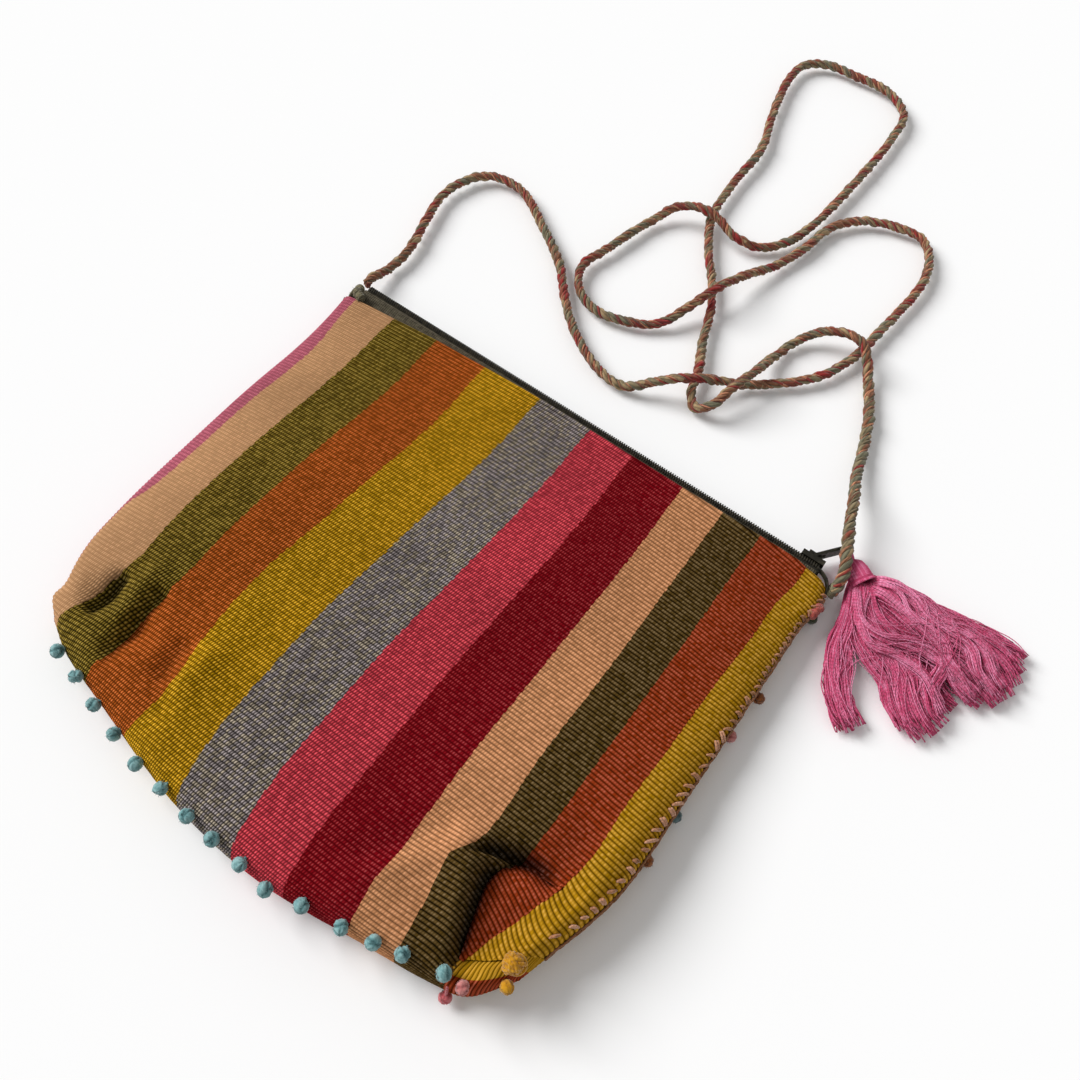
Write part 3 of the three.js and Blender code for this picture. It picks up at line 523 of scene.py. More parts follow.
# Each fold is (side it is measured from, inset and height of its start, then of its end, rise, half width).
FOLDS = [
    (1, 44, 34, 33, 16, 3.5, 7), (1, 50, 28, 65, 8, 2, 10), (1, 29, 40, 27, 10, -6, 5),
    (1, 20, 28, 20, 18, -3, 8), (1, 27, 42, 13, 42, -2, 5), (1, 80, 162, 90, 92, 1.2, 20),
    (-1, 22, 28, 26, 30, -4, 6), (-1, 38, 21, 44, 26, -4, 6), (-1, 28, 34, 34, 17, 2, 5),
    (-1, 68, 52, 76, 0, 1.5, 8),
]
# Small wrinkles that only the cloth shows, in the same form.
WRINKLES = [
    (-1, 26.5, 37, 24.5, 24, -4.6, 2.6), (-1, 28, 34, 34, 17, -1.7, 5),
    (-1, 35.3, 45, 36.3, 22, 2.4, 4), (-1, 41.8, 40, 41.3, 14, -3.6, 2.8),
    (-1, 60.5, 31, 62, 20, -2.2, 4), (-1, 71.5, 33, 70, 19, 1.7, 4.5), (-1, 69, 15, 69, 9, -1.6, 4),
    (1, 49.4, 30.8, 63.5, 11, 1.0, 4), (1, 55, 36, 69, 16, -1.3, 4.5),
    (1, 18.8, 60, 20, 50, -1.5, 7), (1, 41, 30, 39, 18, 1.2, 4),
]


def bulge(y, out, middle, reach):
    return out * np.exp(-((y - middle) / reach) ** 2)


def plan(s, t):
    """The place on the table of a point of the cloth: s runs across the bag, t down from the mouth."""
    left, right, base = left_edge(t), right_edge(t), base_edge(s)
    corner_left, corner_right = left_edge(1), right_edge(1)
    near_left, near_right = 1 - smooth(0, .14, s), smooth(.9, 1, s)
    s, t = s[..., None], t[..., None]
    p = left + (right - left) * s + t * (base - corner_left - (corner_right - corner_left) * s)
    p[..., 0] -= bulge(p[..., 1], *LEFT_BULGE) * near_left
    p[..., 0] += bulge(p[..., 1], *RIGHT_BULGE) * near_right
    return p


def wrinkles(p, folds):
    out = np.zeros(p.shape[:-1])
    for side, x0, y0, x1, y1, height, width in folds:
        a, b = (np.array([side * (HALF - x), y - MOUTH_Y]) for x, y in ((x0, y0), (x1, y1)))
        k = np.clip((p - a) @ (b - a) / ((b - a) @ (b - a)), 0, 1)
        gap = p - a - k[..., None] * (b - a)
        out += height * np.exp(-(gap ** 2).sum(-1) / width ** 2)
    return out


def round_up(distance, radius):
    k = 1 - np.minimum(distance / radius, 1)
    return np.sqrt(1 - k * k)


def rim(s, t):
    low = lerp(lerp(FOLD_RIM, SEAM_RIM, s), BASE_RIM, smooth(.85, 1, t))
    return lerp(ZIP_MIDDLE, low, smooth(0, .2, t))


def thick(s, t):
    low = lerp(lerp(MOUTH, MIDDLE, smooth(0, .4, t)), BASE, smooth(.3, .8, t))
    return low - LEFT_SINK * smooth(.6, 1, t) * (1 - smooth(0, .55, s)) - BASE_SINK * smooth(.88, 1, t)


def edge_distances(s, t, p):
    edges = (plan(0 * s, t), plan(0 * s + 1, t), plan(s, 0 * t + 1))
    return [np.linalg.norm(p - e, axis=-1) for e in edges]


def front(s, t):
    p = plan(s, t)
    left, right, base = edge_distances(s, t, p)
    soft = smooth(0, .3, t)
    rise = round_up(left, lerp(MOUTH_ROUND, FOLD_ROUND, soft))
    rise = rise * round_up(right, lerp(MOUTH_ROUND, SEAM_ROUND, soft))
    rise = rise * round_up(base, lerp(BASE_AT_FOLD, BASE_AT_SEAM, s))
    low = rim(s, t)
    z = low + (thick(s, t) + smooth(0, .2, t) * wrinkles(p, FOLDS) - low) * rise
    return np.concatenate([p, z[..., None]], -1)


def under(s, t):
    p = plan(s, t)
    left, right, base = edge_distances(s, t, p)
    flat = round_up(left, UNDER_ROUND) * round_up(right, UNDER_ROUND) * round_up(base, UNDER_ROUND)
    z = rim(s, t) * (1 - flat)
    return np.concatenate([p, z[..., None]], -1)


# The bag's sides and where one stripe meets the next, as (share down the bag, share across it in thousandths).
STRIPE_LINES = [
    [(0, 0), (1, 0)],
    [(0, 26), (.1, 28), (.2, 36), (.4, 35), (.6, 36), (.66, 30), (.72, 10), (.8, 4), (1, 2)],
    [(0, 111), (.1, 107), (.3, 110), (.5, 109), (.7, 114), (.758, 117), (.8, 108), (.85, 92), (.882, 79),
     (.904, 74), (.92, 69), (.941, 56), (.967, 33), (1, 10)],
    [(0, 202), (.2, 200), (.4, 195), (.6, 194), (.714, 196), (.782, 191), (.817, 186), (.855, 178), (.893, 170),
     (.934, 157), (1, 130)],
    [(0, 301), (.2, 301), (.4, 293), (.5, 288), (.6, 281), (.7, 283), (.8, 290), (.85, 296), (.9, 289),
     (.95, 271), (1, 245)],
    [(0, 421), (.2, 415), (.4, 408), (.6, 398), (.8, 398), (.9, 400), (1, 393)],
    [(0, 527), (.2, 523), (.4, 519), (.6, 510), (.8, 510), (.9, 515), (1, 515)],
    [(0, 611), (.3, 610), (.5, 605), (.7, 600), (.8, 602), (.9, 607), (1, 611)],
    [(0, 715), (.3, 712), (.5, 709), (.7, 704), (.8, 709), (.86, 716), (.9, 716), (1, 725)],
    [(0, 795), (.2, 791), (.4, 791), (.6, 786), (.78, 785), (.815, 771), (.85, 777), (.9, 789), (1, 805)],
    [(0, 865), (.1, 861), (.3, 858), (.5, 855), (.7, 849), (.75, 845), (.79, 829), (.82, 829), (.85, 838),
     (.9, 857), (.96, 880), (1, 885)],
    [(0, 955), (.1, 945), (.2, 942), (.3, 935), (.5, 927), (.6, 921), (.7, 920), (.75, 914), (.8, 905),
     (.85, 895), (.9, 886), (.95, 881), (1, 886)],
    [(0, 1000), (1, 1000)],
]
LINES = [catmull([(t, s / 1000) for t, s in points], 30) for points in STRIPE_LINES]
# The crease above the folded corner and the slit below it, as (share across, share down).
CREASE = catmull([
    (.77, .802), (.784, .793), (.803, .776), (.832, .765), (.856, .758), (.887, .762), (.918, .772),
    (.94, .79)], 20)
SLIT = catmull([(.86, .952), (.874, .945), (.9, .932), (.926, .922), (.95, .925), (1.0, .945)], 20)
# The stripe of the folded corner and the one along the seam.
FACET, BAND = 10, 11


def stripe_edge(k, t):
    """Share across the bag where stripe k begins."""
    return through(LINES[k], t)


def stripe_share(u, t):
    k = min(int(u), len(STRIPES) - 1)
    return lerp(stripe_edge(k, t), stripe_edge(k + 1, t), u - k)


# How far the cloth's edge hangs below the straight zip, in millimetres, by the share across the bag.
MOUTH_BOW = [
    (0, 5.6), (.03, 5.1), (.06, 4.3), (.11, 3.3), (.16, 2.1), (.2, 1.2), (.3, .3), (.45, 0), (.9, 0),
    (.945, .1), (.965, .5), (.985, 1.3), (1, 2.6)]
# How far the ribs bow, likewise.
RIB_BOW = [
    (0, 6), (.1, 3.6), (.2, 1.9), (.3, .8), (.45, 0), (.6, .8), (.7, 1.9), (.8, 3.3), (.85, 4.2),
    (.93, 7), (1, 10.5)]
ROWS_PER_RIB, RIB_DEPTH, END_DEPTH = 5, .26, .1
# The turned-in edge at the mouth, as steps (towards the zip, up), and how far it lifts to meet the zip.
HEM, HEM_LIFT = [(.45, -.2), (.75, -.8), (.55, -1.5), (-5, -1.9)], 1.0
FINE = 1500
FLAT_END = .1
CREASE_DEPTH, ROLL_DEPTH = 6.5, 8.0


def mouth_share(s):
    return through(MOUTH_BOW, s) / HEIGHT


def small_folds(s, t, p):
    """Height of the wrinkles, and of the cloth where it folds under above and beside the folded corner."""
    at = through(CREASE, s)
    near = np.exp(-(((t - at) * HEIGHT) / np.where(t < at, 3.0, 1.5)) ** 2)
    crease = -CREASE_DEPTH * near * smooth(.778, .81, s) * (1 - smooth(.868, .918, s))
    off = (stripe_edge(FACET, t) - s) * WIDTH
    near = np.exp(-(off / np.where(off > 0, 2.5, 1.0)) ** 2)
    roll = -ROLL_DEPTH * near * smooth(.775, .81, t) * (1 - smooth(.92, .96, t))
    return (wrinkles(p, WRINKLES) + np.minimum(crease, roll)) * smooth(0, FLAT_END, 1 - t)


def dressed(s, t):
    p = front(s, t)
    p[..., 2] += small_folds(s, t, p[..., :2])
    return p


def normals(surface, s, t):
    step = 2e-4
    ds = surface(np.clip(s + step, 0, 1), t) - surface(np.clip(s - step, 0, 1), t)
    dt = surface(s, np.clip(t - step, 0, 1)) - surface(s, np.clip(t + step, 0, 1))
    return unit(np.cross(ds, dt))


class Column:
    """One line of points down the cloth: its ends, and between them points on each rib."""

    def __init__(self, points, away, s, t, v):
        rows = np.arange(math.ceil(v[0] * ROWS_PER_RIB + .3), math.floor(v[-1] * ROWS_PER_RIB - .3) + 1)
        self.first, self.last = int(rows[0]), int(rows[-1])
        self.v = np.concatenate([[v[0]], rows / ROWS_PER_RIB, [v[-1]]])
        x, y, z, *away, self.s, self.t = (np.interp(self.v, v, w) for w in (*points.T, *away.T, s, t))
        depth = RIB_DEPTH * (np.abs(np.sin(math.pi * self.v)) ** .75 - 1)
        depth[[0, -1]] = -END_DEPTH
        self.points = np.stack([x, y, z], -1) + np.stack(away, -1) * depth[:, None]

    def row(self, k):
        return k - self.first + 1


def strip_faces(columns, starts):
    """Joins neighbouring columns rib by rib; their uneven ends are closed by short facets."""
    faces = []
    for a, b, i, j in zip(columns, columns[1:], starts, starts[1:]):
        low, high = max(a.first, b.first), min(a.last, b.last)
        for k in range(low, high):
            faces.append([i + a.row(k), i + a.row(k + 1), j + b.row(k + 1), j + b.row(k)])
        top = [i + r for r in range(0, a.row(low) + 1)] + [j + r for r in range(b.row(low), -1, -1)]
        end_a, end_b = len(a.v) - 1, len(b.v) - 1
        base = [i + r for r in range(a.row(high), end_a + 1)]
        faces += [top, base + [j + r for r in range(end_b, b.row(high) - 1, -1)]]
    return faces


def cloth_sheet(name, strips, material, hem=(), back=False, stands_for=()):
    """A sheet of cloth through columns, given with their stripes, and a hem along the columns' tops."""
    columns, stripes = zip(*strips)
    sizes = [len(c.v) for c in columns]
    tops = np.concatenate([[0], np.cumsum(sizes)[:-1]]).astype(int)
    points = np.vstack([c.points for c in columns])
    faces = strip_faces(columns, tops)
    u = np.repeat(np.array(stripes, float), sizes)
    v, s, t = (np.concatenate([getattr(c, key) for c in columns]) for key in "vst")
    x = points[:, 0]
    lift = HEM_LIFT * smooth(.25, .42, s[tops]) * (1 - smooth(.93, .962, s[tops]))
    near = tops
    for dy, dz in hem:
        rise = np.stack([-.02 * x[tops] * (dy < 0), dy + lift * (dy > 0), dz + 0 * lift], -1)
        far = np.arange(len(points), len(points) + len(tops))
        points = np.vstack([points, points[tops] + rise])
        u, x, s = (np.concatenate([w, w[tops]]) for w in (u, x, s))
        v = np.concatenate([v, v[tops] - .2 - abs(dy) / RIB])
        t = np.concatenate([t, t[tops] - .004 - abs(dy) / HEIGHT])
        faces += [[far[i], near[i], near[i + 1], far[i + 1]] for i in range(len(tops) - 1)]
        near = far
    hollow = 0 * s
    if back:
        faces = [face[::-1] for face in faces]
    else:
        # How deep each point lies in a crease: the material paints shade with it.
        hollow = np.maximum(-small_folds(s, t, plan(s, t)), 0)
    pairs = {"OFBake": (s * .96 + .02, .95 - t * .9), "Cloth": (u, v), "Thread": (x, hollow)}
    uvs = {key: np.stack(pair, -1) for key, pair in pairs.items()}
    make(name, points, faces, material, "woven_cloth", uvs, stands_for=stands_for)


def down_the_cloth(p):
    return arc_lengths(p[:, 1:]) / RIB


def rib_field():
    """Ribs counted down the cloth on a grid, evened out so that small folds don't bend them."""
    down = np.linspace(0, 1, 400)
    field = np.stack([down_the_cloth(front(0 * down + s, down)) for s in np.linspace(0, 1, 181)])
    reach = 24
    steps = np.arange(-reach, reach + 1)
    weight = np.exp(-(steps / 9.0) ** 2)
    padded = np.pad(field, ((reach, reach), (0, 0)), mode="edge")
    return sum(w * padded[reach + r:reach + r + len(field)] for r, w in zip(steps, weight)) / weight.sum()


RIB_FIELD = rib_field()


def ribs_at(s, t):
    rows, cols = RIB_FIELD.shape
    a, b = np.clip(s, 0, 1) * (rows - 1), np.clip(t, 0, 1) * (cols - 1)
    i, j = np.minimum(a.astype(int), rows - 2), np.minimum(b.astype(int), cols - 2)
    near, far = (lerp(RIB_FIELD[i, c], RIB_FIELD[i + 1, c], a - i) for c in (j, j + 1))
    return lerp(near, far, b - j)


def front_column(s, t, v=None):
    if v is None:
        v = ribs_at(s, t) - through(RIB_BOW, s) * lerp(1, .3, smooth(0, .5, t)) / RIB
    return Column(dressed(s, t), normals(dressed, s, t), s, t, v)


COLUMNS_PER_STRIPE = [4, 8, 10, 10, 10, 9, 8, 10, 12, 12, 12]


def front_columns():
    for k, count in enumerate(COLUMNS_PER_STRIPE):
        for i in range(count + (k == FACET)):
            u = min(k + i / count, BAND - .001)
            s = stripe_share(u, np.linspace(0, 1, FINE))
            end = through(CREASE, s[int(.77 * FINE)]) + .004 if k == FACET and i > 0 else 1.0
            t = np.linspace(mouth_share(s[0]), end, FINE)
            yield front_column(stripe_share(u, t), t), u


# How steeply the ribs of the seam stripe lean, by the share down the bag.
BAND_LEAN = [
    (0, .22), (.25, .25), (.4, .31), (.5, .45), (.6, .53), (.7, .62), (.78, .83), (.84, .88), (.9, .8), (1, .7)]


def band_columns():
    """The stripe along the seam, its ribs leaning more and more towards the corner."""
    start = np.linspace(-.2, 1.2, 3000)
    wide = (1 - stripe_edge(BAND, np.clip(start, 0, 1))) * WIDTH
    for q in np.linspace(0, 1, 13):
        lands = start + through(BAND_LEAN, start) * q * wide / HEIGHT
        low = lerp(stripe_edge(BAND, np.array(.94)), 1, q)
        t = np.linspace(mouth_share(lerp(.955, 1, q)), through(SLIT, low) + .002, FINE)
        column = front_column(lerp(stripe_edge(BAND, t), 1, q), t, np.interp(t, lands, start) * HEIGHT / RIB)
        yield column, min(BAND + q, BAND + .96)


FACET_END, FACET_RIB = .948, 1.58
FACET_TOP, FACET_FOOT, FACET_BULGE = 14.6, 12.2, 1.3
TUCK_ABOVE, TUCK_BESIDE = 6.5, 3.5
FACET_AWAY, FLANK_AWAY = np.array([[0.0, -.25, .97]]), np.array([[.9, 0, .4]])


def facet_columns():
    """The folded corner: it comes out from behind the rolled fold and rises to the seam stripe."""
    r = np.linspace(0, 1, FINE)
    for q in np.linspace(0, 1, 21) ** 1.4:
        top = lerp(stripe_edge(FACET, np.array(.79)), stripe_edge(BAND, np.array(.785)), q)
        t = np.linspace(through(CREASE, top) - .001, FACET_END, FINE)
        seam_side = stripe_edge(BAND, t) + .001
        s = lerp(stripe_edge(FACET, t) - .002, seam_side, q)
        p = front(s, t)
        swell = FACET_BULGE * math.sin(math.pi * min(q * 1.15, 1)) * np.sin(math.pi * np.clip(r * 1.1, 0, 1))
        above = TUCK_ABOVE * (1 - smooth(0, .2, r)) ** 2 * (1 - smooth(.75, 1, q))
        beside = TUCK_BESIDE * (1 - smooth(0, .09, q)) ** 2 * (1 - smooth(.7, 1, r))
        level = lerp(lerp(FACET_TOP, FACET_FOOT, r), front(seam_side, t)[:, 2], smooth(-.1, 1, q))
        p[:, 2] = level + swell - np.maximum(above, beside)
        v = (t * HEIGHT - .6 * s * WIDTH) / FACET_RIB
        yield Column(p, FACET_AWAY.repeat(FINE, 0), s, t, v), min(FACET + .02 + q, FACET + .97)


FLANK_TOP, FLANK_END = .782, .956
FLANK_PROFILE = (0, 0), (.35, .5), (.45, 1.4), (.2, 2.8), (-.4, 5), (-1.2, 8)


def flank_columns():
    """The rolled edge of the fold, going down behind it."""
    t = np.linspace(FLANK_TOP, FLANK_END, FINE)
    s = stripe_edge(FACET, t)
    edge = dressed(s, t)
    ribs = front_column(s, t).v
    v = np.linspace(ribs[0], ribs[-1], FINE)
    for out, drop in FLANK_PROFILE:
        p = edge + np.array([out, 0, 0])
        p[:, 2] -= drop * smooth(0, .08, t - FLANK_TOP) + .05 * drop
        yield Column(p, FLANK_AWAY.repeat(FINE, 0), s + out / WIDTH, t, v), FACET - .03


BASE_END_RIB = 1.45


def corner_columns():
    """The end of the boxed base, below the slit: a strip of one stripe and then the next."""
    s = np.linspace(.876, 1, FINE)
    for w in np.linspace(0, 1, 13):
        t = lerp(through(SLIT, s), 1 + 0 * s, w)
        p = front(s, t)
        p[:, 2] -= 1.1 * (1 - smooth(0, .2, w)) * (1 - smooth(.925, .96, s))
        column = Column(p, normals(front, s, np.minimum(t, .999)), s, t, arc_lengths(p) / BASE_END_RIB)
        yield column, (BAND if w < .6 else FACET) + .5


def back_columns():
    for u in (*np.linspace(0, 11.86, 99), 11.92, 11.96, 11.985, 11.996, 12):
        t = np.linspace(mouth_share(stripe_share(u, np.array(0.0))), 1, FINE)
        s = lerp(stripe_share(u, np.minimum(t, .7)), stripe_share(u, 0 * t + 1), smooth(.7, 1, t))
        p = under(s, t)
        yield Column(p, -normals(under, s, t), s, t, down_the_cloth(p)), min(u, BAND + .97)


def add_pouch():
    cloth = cloth_material()
    cloth_sheet("pouch_front", front_columns(), cloth, HEM, stands_for=["pouch_cloth"])
    cloth_sheet("pouch_seam_band", band_columns(), cloth, HEM)
    cloth_sheet("pouch_corner_fold", facet_columns(), cloth)
    cloth_sheet("pouch_fold_edge", flank_columns(), cloth)
    cloth_sheet("pouch_base_end", corner_columns(), cloth)
    cloth_sheet("pouch_back", back_columns(), cloth, [(dy, -dz) for dy, dz in HEM], back=True)


add_pouch()


# The zip: two woven tapes, a coil of loops on each, and the blackened slider and pull.

TAPE_HALF, TAPE_THICK, TAPE_STEPS = 104.5, .6, 150
TAPE_PROFILE = [
    (84, 6.3), (89, 6.5), (92, 6.9), (93.4, 7.2), (94.4, 7.2), (95.2, 6.9), (95.7, 6.3), (95.7, 5.3)]
COIL_Y, COIL_OUT, COIL_LOOP, COIL_RISE, COIL_WIRE, COIL_PITCH = 97.0, 1.6, 1.1, .9, .33, .95


def add_tape(name, side):
    profile = respaced(catmull(TAPE_PROFILE, 12), 26)
    x = np.linspace(-TAPE_HALF, TAPE_HALF, TAPE_STEPS)
    wave = .12 * np.sin(x / 7.3) + .08 * np.sin(x / 3.1 + 1)
    outside = unit(np.stack([np.gradient(profile[:, 1]), -np.gradient(profile[:, 0])], -1))
    rows = np.vstack([profile, (profile + outside * TAPE_THICK)[::-1]])
    n = len(rows)
    points = np.zeros((TAPE_STEPS, n, 3))
    points[..., 0] = x[:, None]
    points[..., 1] = rows[None, :, 0]
    points[..., 2] = ZIP_MIDDLE + side * (rows[None, :, 1] - ZIP_MIDDLE) + (wave * .6)[:, None]
    uvs = {"Yarn": np.stack([np.repeat(x, n), np.tile(np.arange(n) * .5, TAPE_STEPS)], -1)}
    faces = skin(TAPE_STEPS, n, turned=side > 0)
    make(name + "_visual", points.reshape(-1, 3), faces, tape_paint, "zip_tape", uvs, stands_for=[name])


def add_coil(name, side):
    turns = int(2 * TAPE_HALF / COIL_PITCH)
    angle = np.linspace(0, TURN * turns, turns * 10 + 1) + (math.pi if side > 0 else 0)
    x = np.linspace(-TAPE_HALF + .5, TAPE_HALF - .5, len(angle))
    up = ZIP_MIDDLE + side * (COIL_OUT + COIL_RISE * np.sin(angle))
    core = np.stack([x, 0 * x + COIL_Y - .1, 0 * x + ZIP_MIDDLE + side * COIL_OUT], -1)[::20]
    heap = Heap()
    heap.thread(np.stack([x, COIL_Y + COIL_LOOP * np.cos(angle), up], -1), COIL_WIRE, 5)
    heap.thread(core, .85, 8)
    heap.thread(core - [0, .75, .1 * side], .6, 8)
    heap.make(name + "_visual", coil_paint, "zip_coil", name)


tape_paint, coil_paint, metal_paint = tape_material(), coil_material(), metal_material()
for half, side in (("front", 1), ("back", -1)):
    add_tape("zip_tape_" + half, side)
    add_coil("zip_coil_" + half, side)
for name in ("zip_slider", "pull_tab"):
    nodes[name].data.materials.clear()
    nodes[name].data.materials.append(metal_paint)


# The tassel: a wrapped head and locks of fine thread.

# Each lock is (height of its middle, half its width, x and y in turn along its line in tenths of a millimetre).
TASSEL_LOCKS = [
    (2.4, 2.0, [1178, 1005, 1202, 895, 1216, 794, 1243, 702, 1282, 632, 1346, 554, 1405, 512]),
    (3.4, 2.2, [1185, 1003, 1215, 891, 1233, 794, 1264, 696, 1305, 621, 1360, 569, 1430, 522]),
    (2.8, 2.0, [1192, 1001, 1229, 888, 1259, 800, 1296, 720, 1334, 643, 1384, 584, 1436, 546]),
    (2.6, 2.4, [1196, 1004, 1236, 907, 1282, 831, 1347, 785, 1428, 739, 1491, 676, 1570, 636]),
    (3.4, 2.6, [1200, 1007, 1249, 916, 1302, 859, 1375, 819, 1450, 782, 1506, 714, 1584, 656, 1630, 642]),
    (3.8, 2.6, [1204, 1010, 1256, 936, 1317, 885, 1402, 853, 1483, 806, 1547, 733, 1609, 689, 1660, 670]),
    (3.4, 2.6, [1213, 1017, 1267, 958, 1337, 913, 1422, 881, 1510, 840, 1570, 782, 1615, 733, 1672, 716]),
    (2.6, 2.6, [1217, 1020, 1284, 971, 1370, 938, 1471, 918, 1551, 871, 1617, 832, 1678, 818]),
    (3.2, 2.6, [1218, 1028, 1309, 990, 1398, 973, 1499, 953, 1595, 917, 1681, 880, 1744, 868]),
    (3.6, 2.6, [1220, 1037, 1329, 1019, 1431, 998, 1541, 984, 1640, 963, 1721, 931, 1790, 906]),
    (3.4, 2.6, [1224, 1040, 1345, 1031, 1451, 1027, 1569, 1018, 1663, 1008, 1748, 981, 1810, 948]),
    (3.4, 2.4, [1228, 1043, 1357, 1052, 1466, 1062, 1579, 1064, 1682, 1058, 1762, 1040, 1816, 1011]),
    (3.2, 2.2, [1230, 1051, 1360, 1068, 1475, 1086, 1584, 1094, 1690, 1096, 1762, 1088, 1812, 1068]),
    (2.8, 1.9, [1234, 1054, 1363, 1079, 1477, 1101, 1585, 1114, 1686, 1124, 1754, 1132, 1796, 1120]),
    (5.6, 2.0, [1209, 1014, 1246, 882, 1329, 812, 1430, 824, 1536, 820, 1602, 786, 1650, 754]),
    (6.0, 2.1, [1241, 1052, 1327, 1042, 1383, 1003, 1466, 992, 1532, 967, 1569, 919, 1647, 897, 1717, 873]),
    (6.0, 2.1, [1245, 1056, 1360, 1066, 1438, 1031, 1521, 1024, 1616, 1008, 1670, 949, 1736, 926, 1779, 910]),
    (5.6, 1.9, [1249, 1059, 1399, 1079, 1501, 1062, 1587, 1069, 1666, 1044, 1723, 999, 1784, 974]),
    (6.0, 1.8, [1193, 988, 1256, 886, 1353, 868, 1456, 906, 1556, 910, 1632, 871, 1706, 851]),
    (5.8, 1.8, [1224, 1018, 1320, 1009, 1423, 987, 1527, 957, 1568, 889, 1574, 819, 1620, 770]),
]
TASSEL_HEAD = [
    (111.9, 107.4, 4.3), (112.9, 106.6, 4.5), (115.3, 104.9, 4.8), (117.5, 103.5, 4.8), (120.0, 102.0, 4.6)]
HEAD_GIRTH = [(0, .6), (.06, 2.2), (.2, 3.6), (.45, 4.2), (.7, 4.35), (.85, 4.3), (1, 4.8)]
HEAD_WIDE, HEAD_HIGH, HEAD_THREADS, HEAD_STEPS = 1.08, .78, 96, 20
EYE_LOOP = [
    (113.4, 106.2, 4.0), (110.8, 108.6, 3.0), (108.6, 110.5, 3.4), (107.2, 110.8, 4.5), (108.6, 110.9, 5.6),
    (110.8, 109.1, 5.9), (113.4, 106.6, 5.0)]
BINDING_AT, BINDING_WIDE, BINDING_HIGH = -4, 4.62, 3.36
TASSEL_NECK = np.array([120.4, 102.8])
# Away from the closed end the threads gather along a line that leans away from the zip.
THREAD_RADIUS, THREAD_PITCH, LOCK_STEPS = .22, 1.3, 30
LOCK_THREADS, CLUMPS, LOOSE_THREADS = 66, 6, 90


def lock_path(line):
    line = np.reshape(line, (-1, 2)) / 10
    return respaced(catmull([TASSEL_NECK + (line[0] - TASSEL_NECK) * .8, *line], 14), LOCK_STEPS)


def add_lock(heap, level, wide, line):
    """Threads that lie together: their clumps sway and wind, and each thread ends at its own length."""
    path = lock_path(line)
    k = np.linspace(0, 1, LOCK_STEPS)
    ahead = unit(np.gradient(path, axis=0))
    aside = np.stack([-ahead[:, 1], ahead[:, 0]], -1)
    rise = np.interp(k, [0, .1, .4, .75, 1], [4.4, level + 1.0, level + .7, level, level * .55])
    spread = wide * np.interp(k, [0, .2, .7, .88, 1], [.75, .42, .45, .5, .85])
    free = smooth(.05, .4, k)

    def ripple(size, slow, fast):
        return size * np.sin(k * rng.uniform(slow, fast) + rng.uniform(0, 6)) * free

    clumps = []
    for _ in range(CLUMPS):
        bearing = rng.uniform(0, TURN) + k * rng.uniform(-3.4, 3.4)
        sway = ripple(rng.uniform(.3, 1.0), 7, 15)
        clumps.append((bearing, sway, k * rng.uniform(-4, 4)))
    for i in range(LOCK_THREADS):
        bearing, sway, winding = clumps[i % CLUMPS]
        reach = math.sqrt(rng.uniform(0, 1)) * spread
        angle = rng.uniform(0, TURN) + winding + rng.normal(0, .7) * k
        wander = ripple(rng.normal(0, .38), 5, 13)
        curl = ripple(rng.normal(0, .13), 25, 45)
        across = .62 * wide * np.cos(bearing) + sway + reach * np.cos(angle) + wander + curl
        high = rise + .6 * (.62 * wide * np.sin(bearing) + reach * np.sin(angle)) + .5 * curl
        clear = np.maximum(high, THREAD_RADIUS + .05)
        points = np.concatenate([path + aside * across[:, None], clear[:, None]], -1)
        keep = int(LOCK_STEPS * np.clip(rng.normal(.96, .05), .8, 1))
        # Higher threads are paler and lower ones darker: painted shade deep in the tassel, with a random tone
        # per thread.
        tint = np.clip(.095 * high.mean() + rng.uniform(-.1, .42), 0, 1)
        heap.thread(points[:keep], THREAD_RADIUS, 4, tint, THREAD_PITCH)


def add_loose_threads(heap):
    """Stray threads that cross from one lock to another on top of the tassel."""
    for _ in range(LOOSE_THREADS):
        i = rng.integers(0, len(TASSEL_LOCKS))
        j = np.clip(i + rng.integers(-3, 4), 0, len(TASSEL_LOCKS) - 1)
        a, b = (lock_path(TASSEL_LOCKS[q][2]) for q in (i, j))
        first, last = rng.integers(3, 14), rng.integers(20, 30)
        k = np.linspace(0, 1, last - first)
        line = lerp(a[first:last], b[first:last], smooth(.1, .9, k)[:, None]) + rng.normal(0, 1.0, 2)
        line = line + np.sin(k * rng.uniform(4, 9) + rng.uniform(0, 6))[:, None] * rng.normal(0, .9, 2)
        level = max(TASSEL_LOCKS[i][0], TASSEL_LOCKS[j][0]) + np.interp(k, [0, .15, .5, 1], [.5, 1.9, 2.0, .2])
        points = np.concatenate([line, level[:, None]], -1)
        heap.thread(points, .15, 4, rng.uniform(.5, 1), THREAD_PITCH)


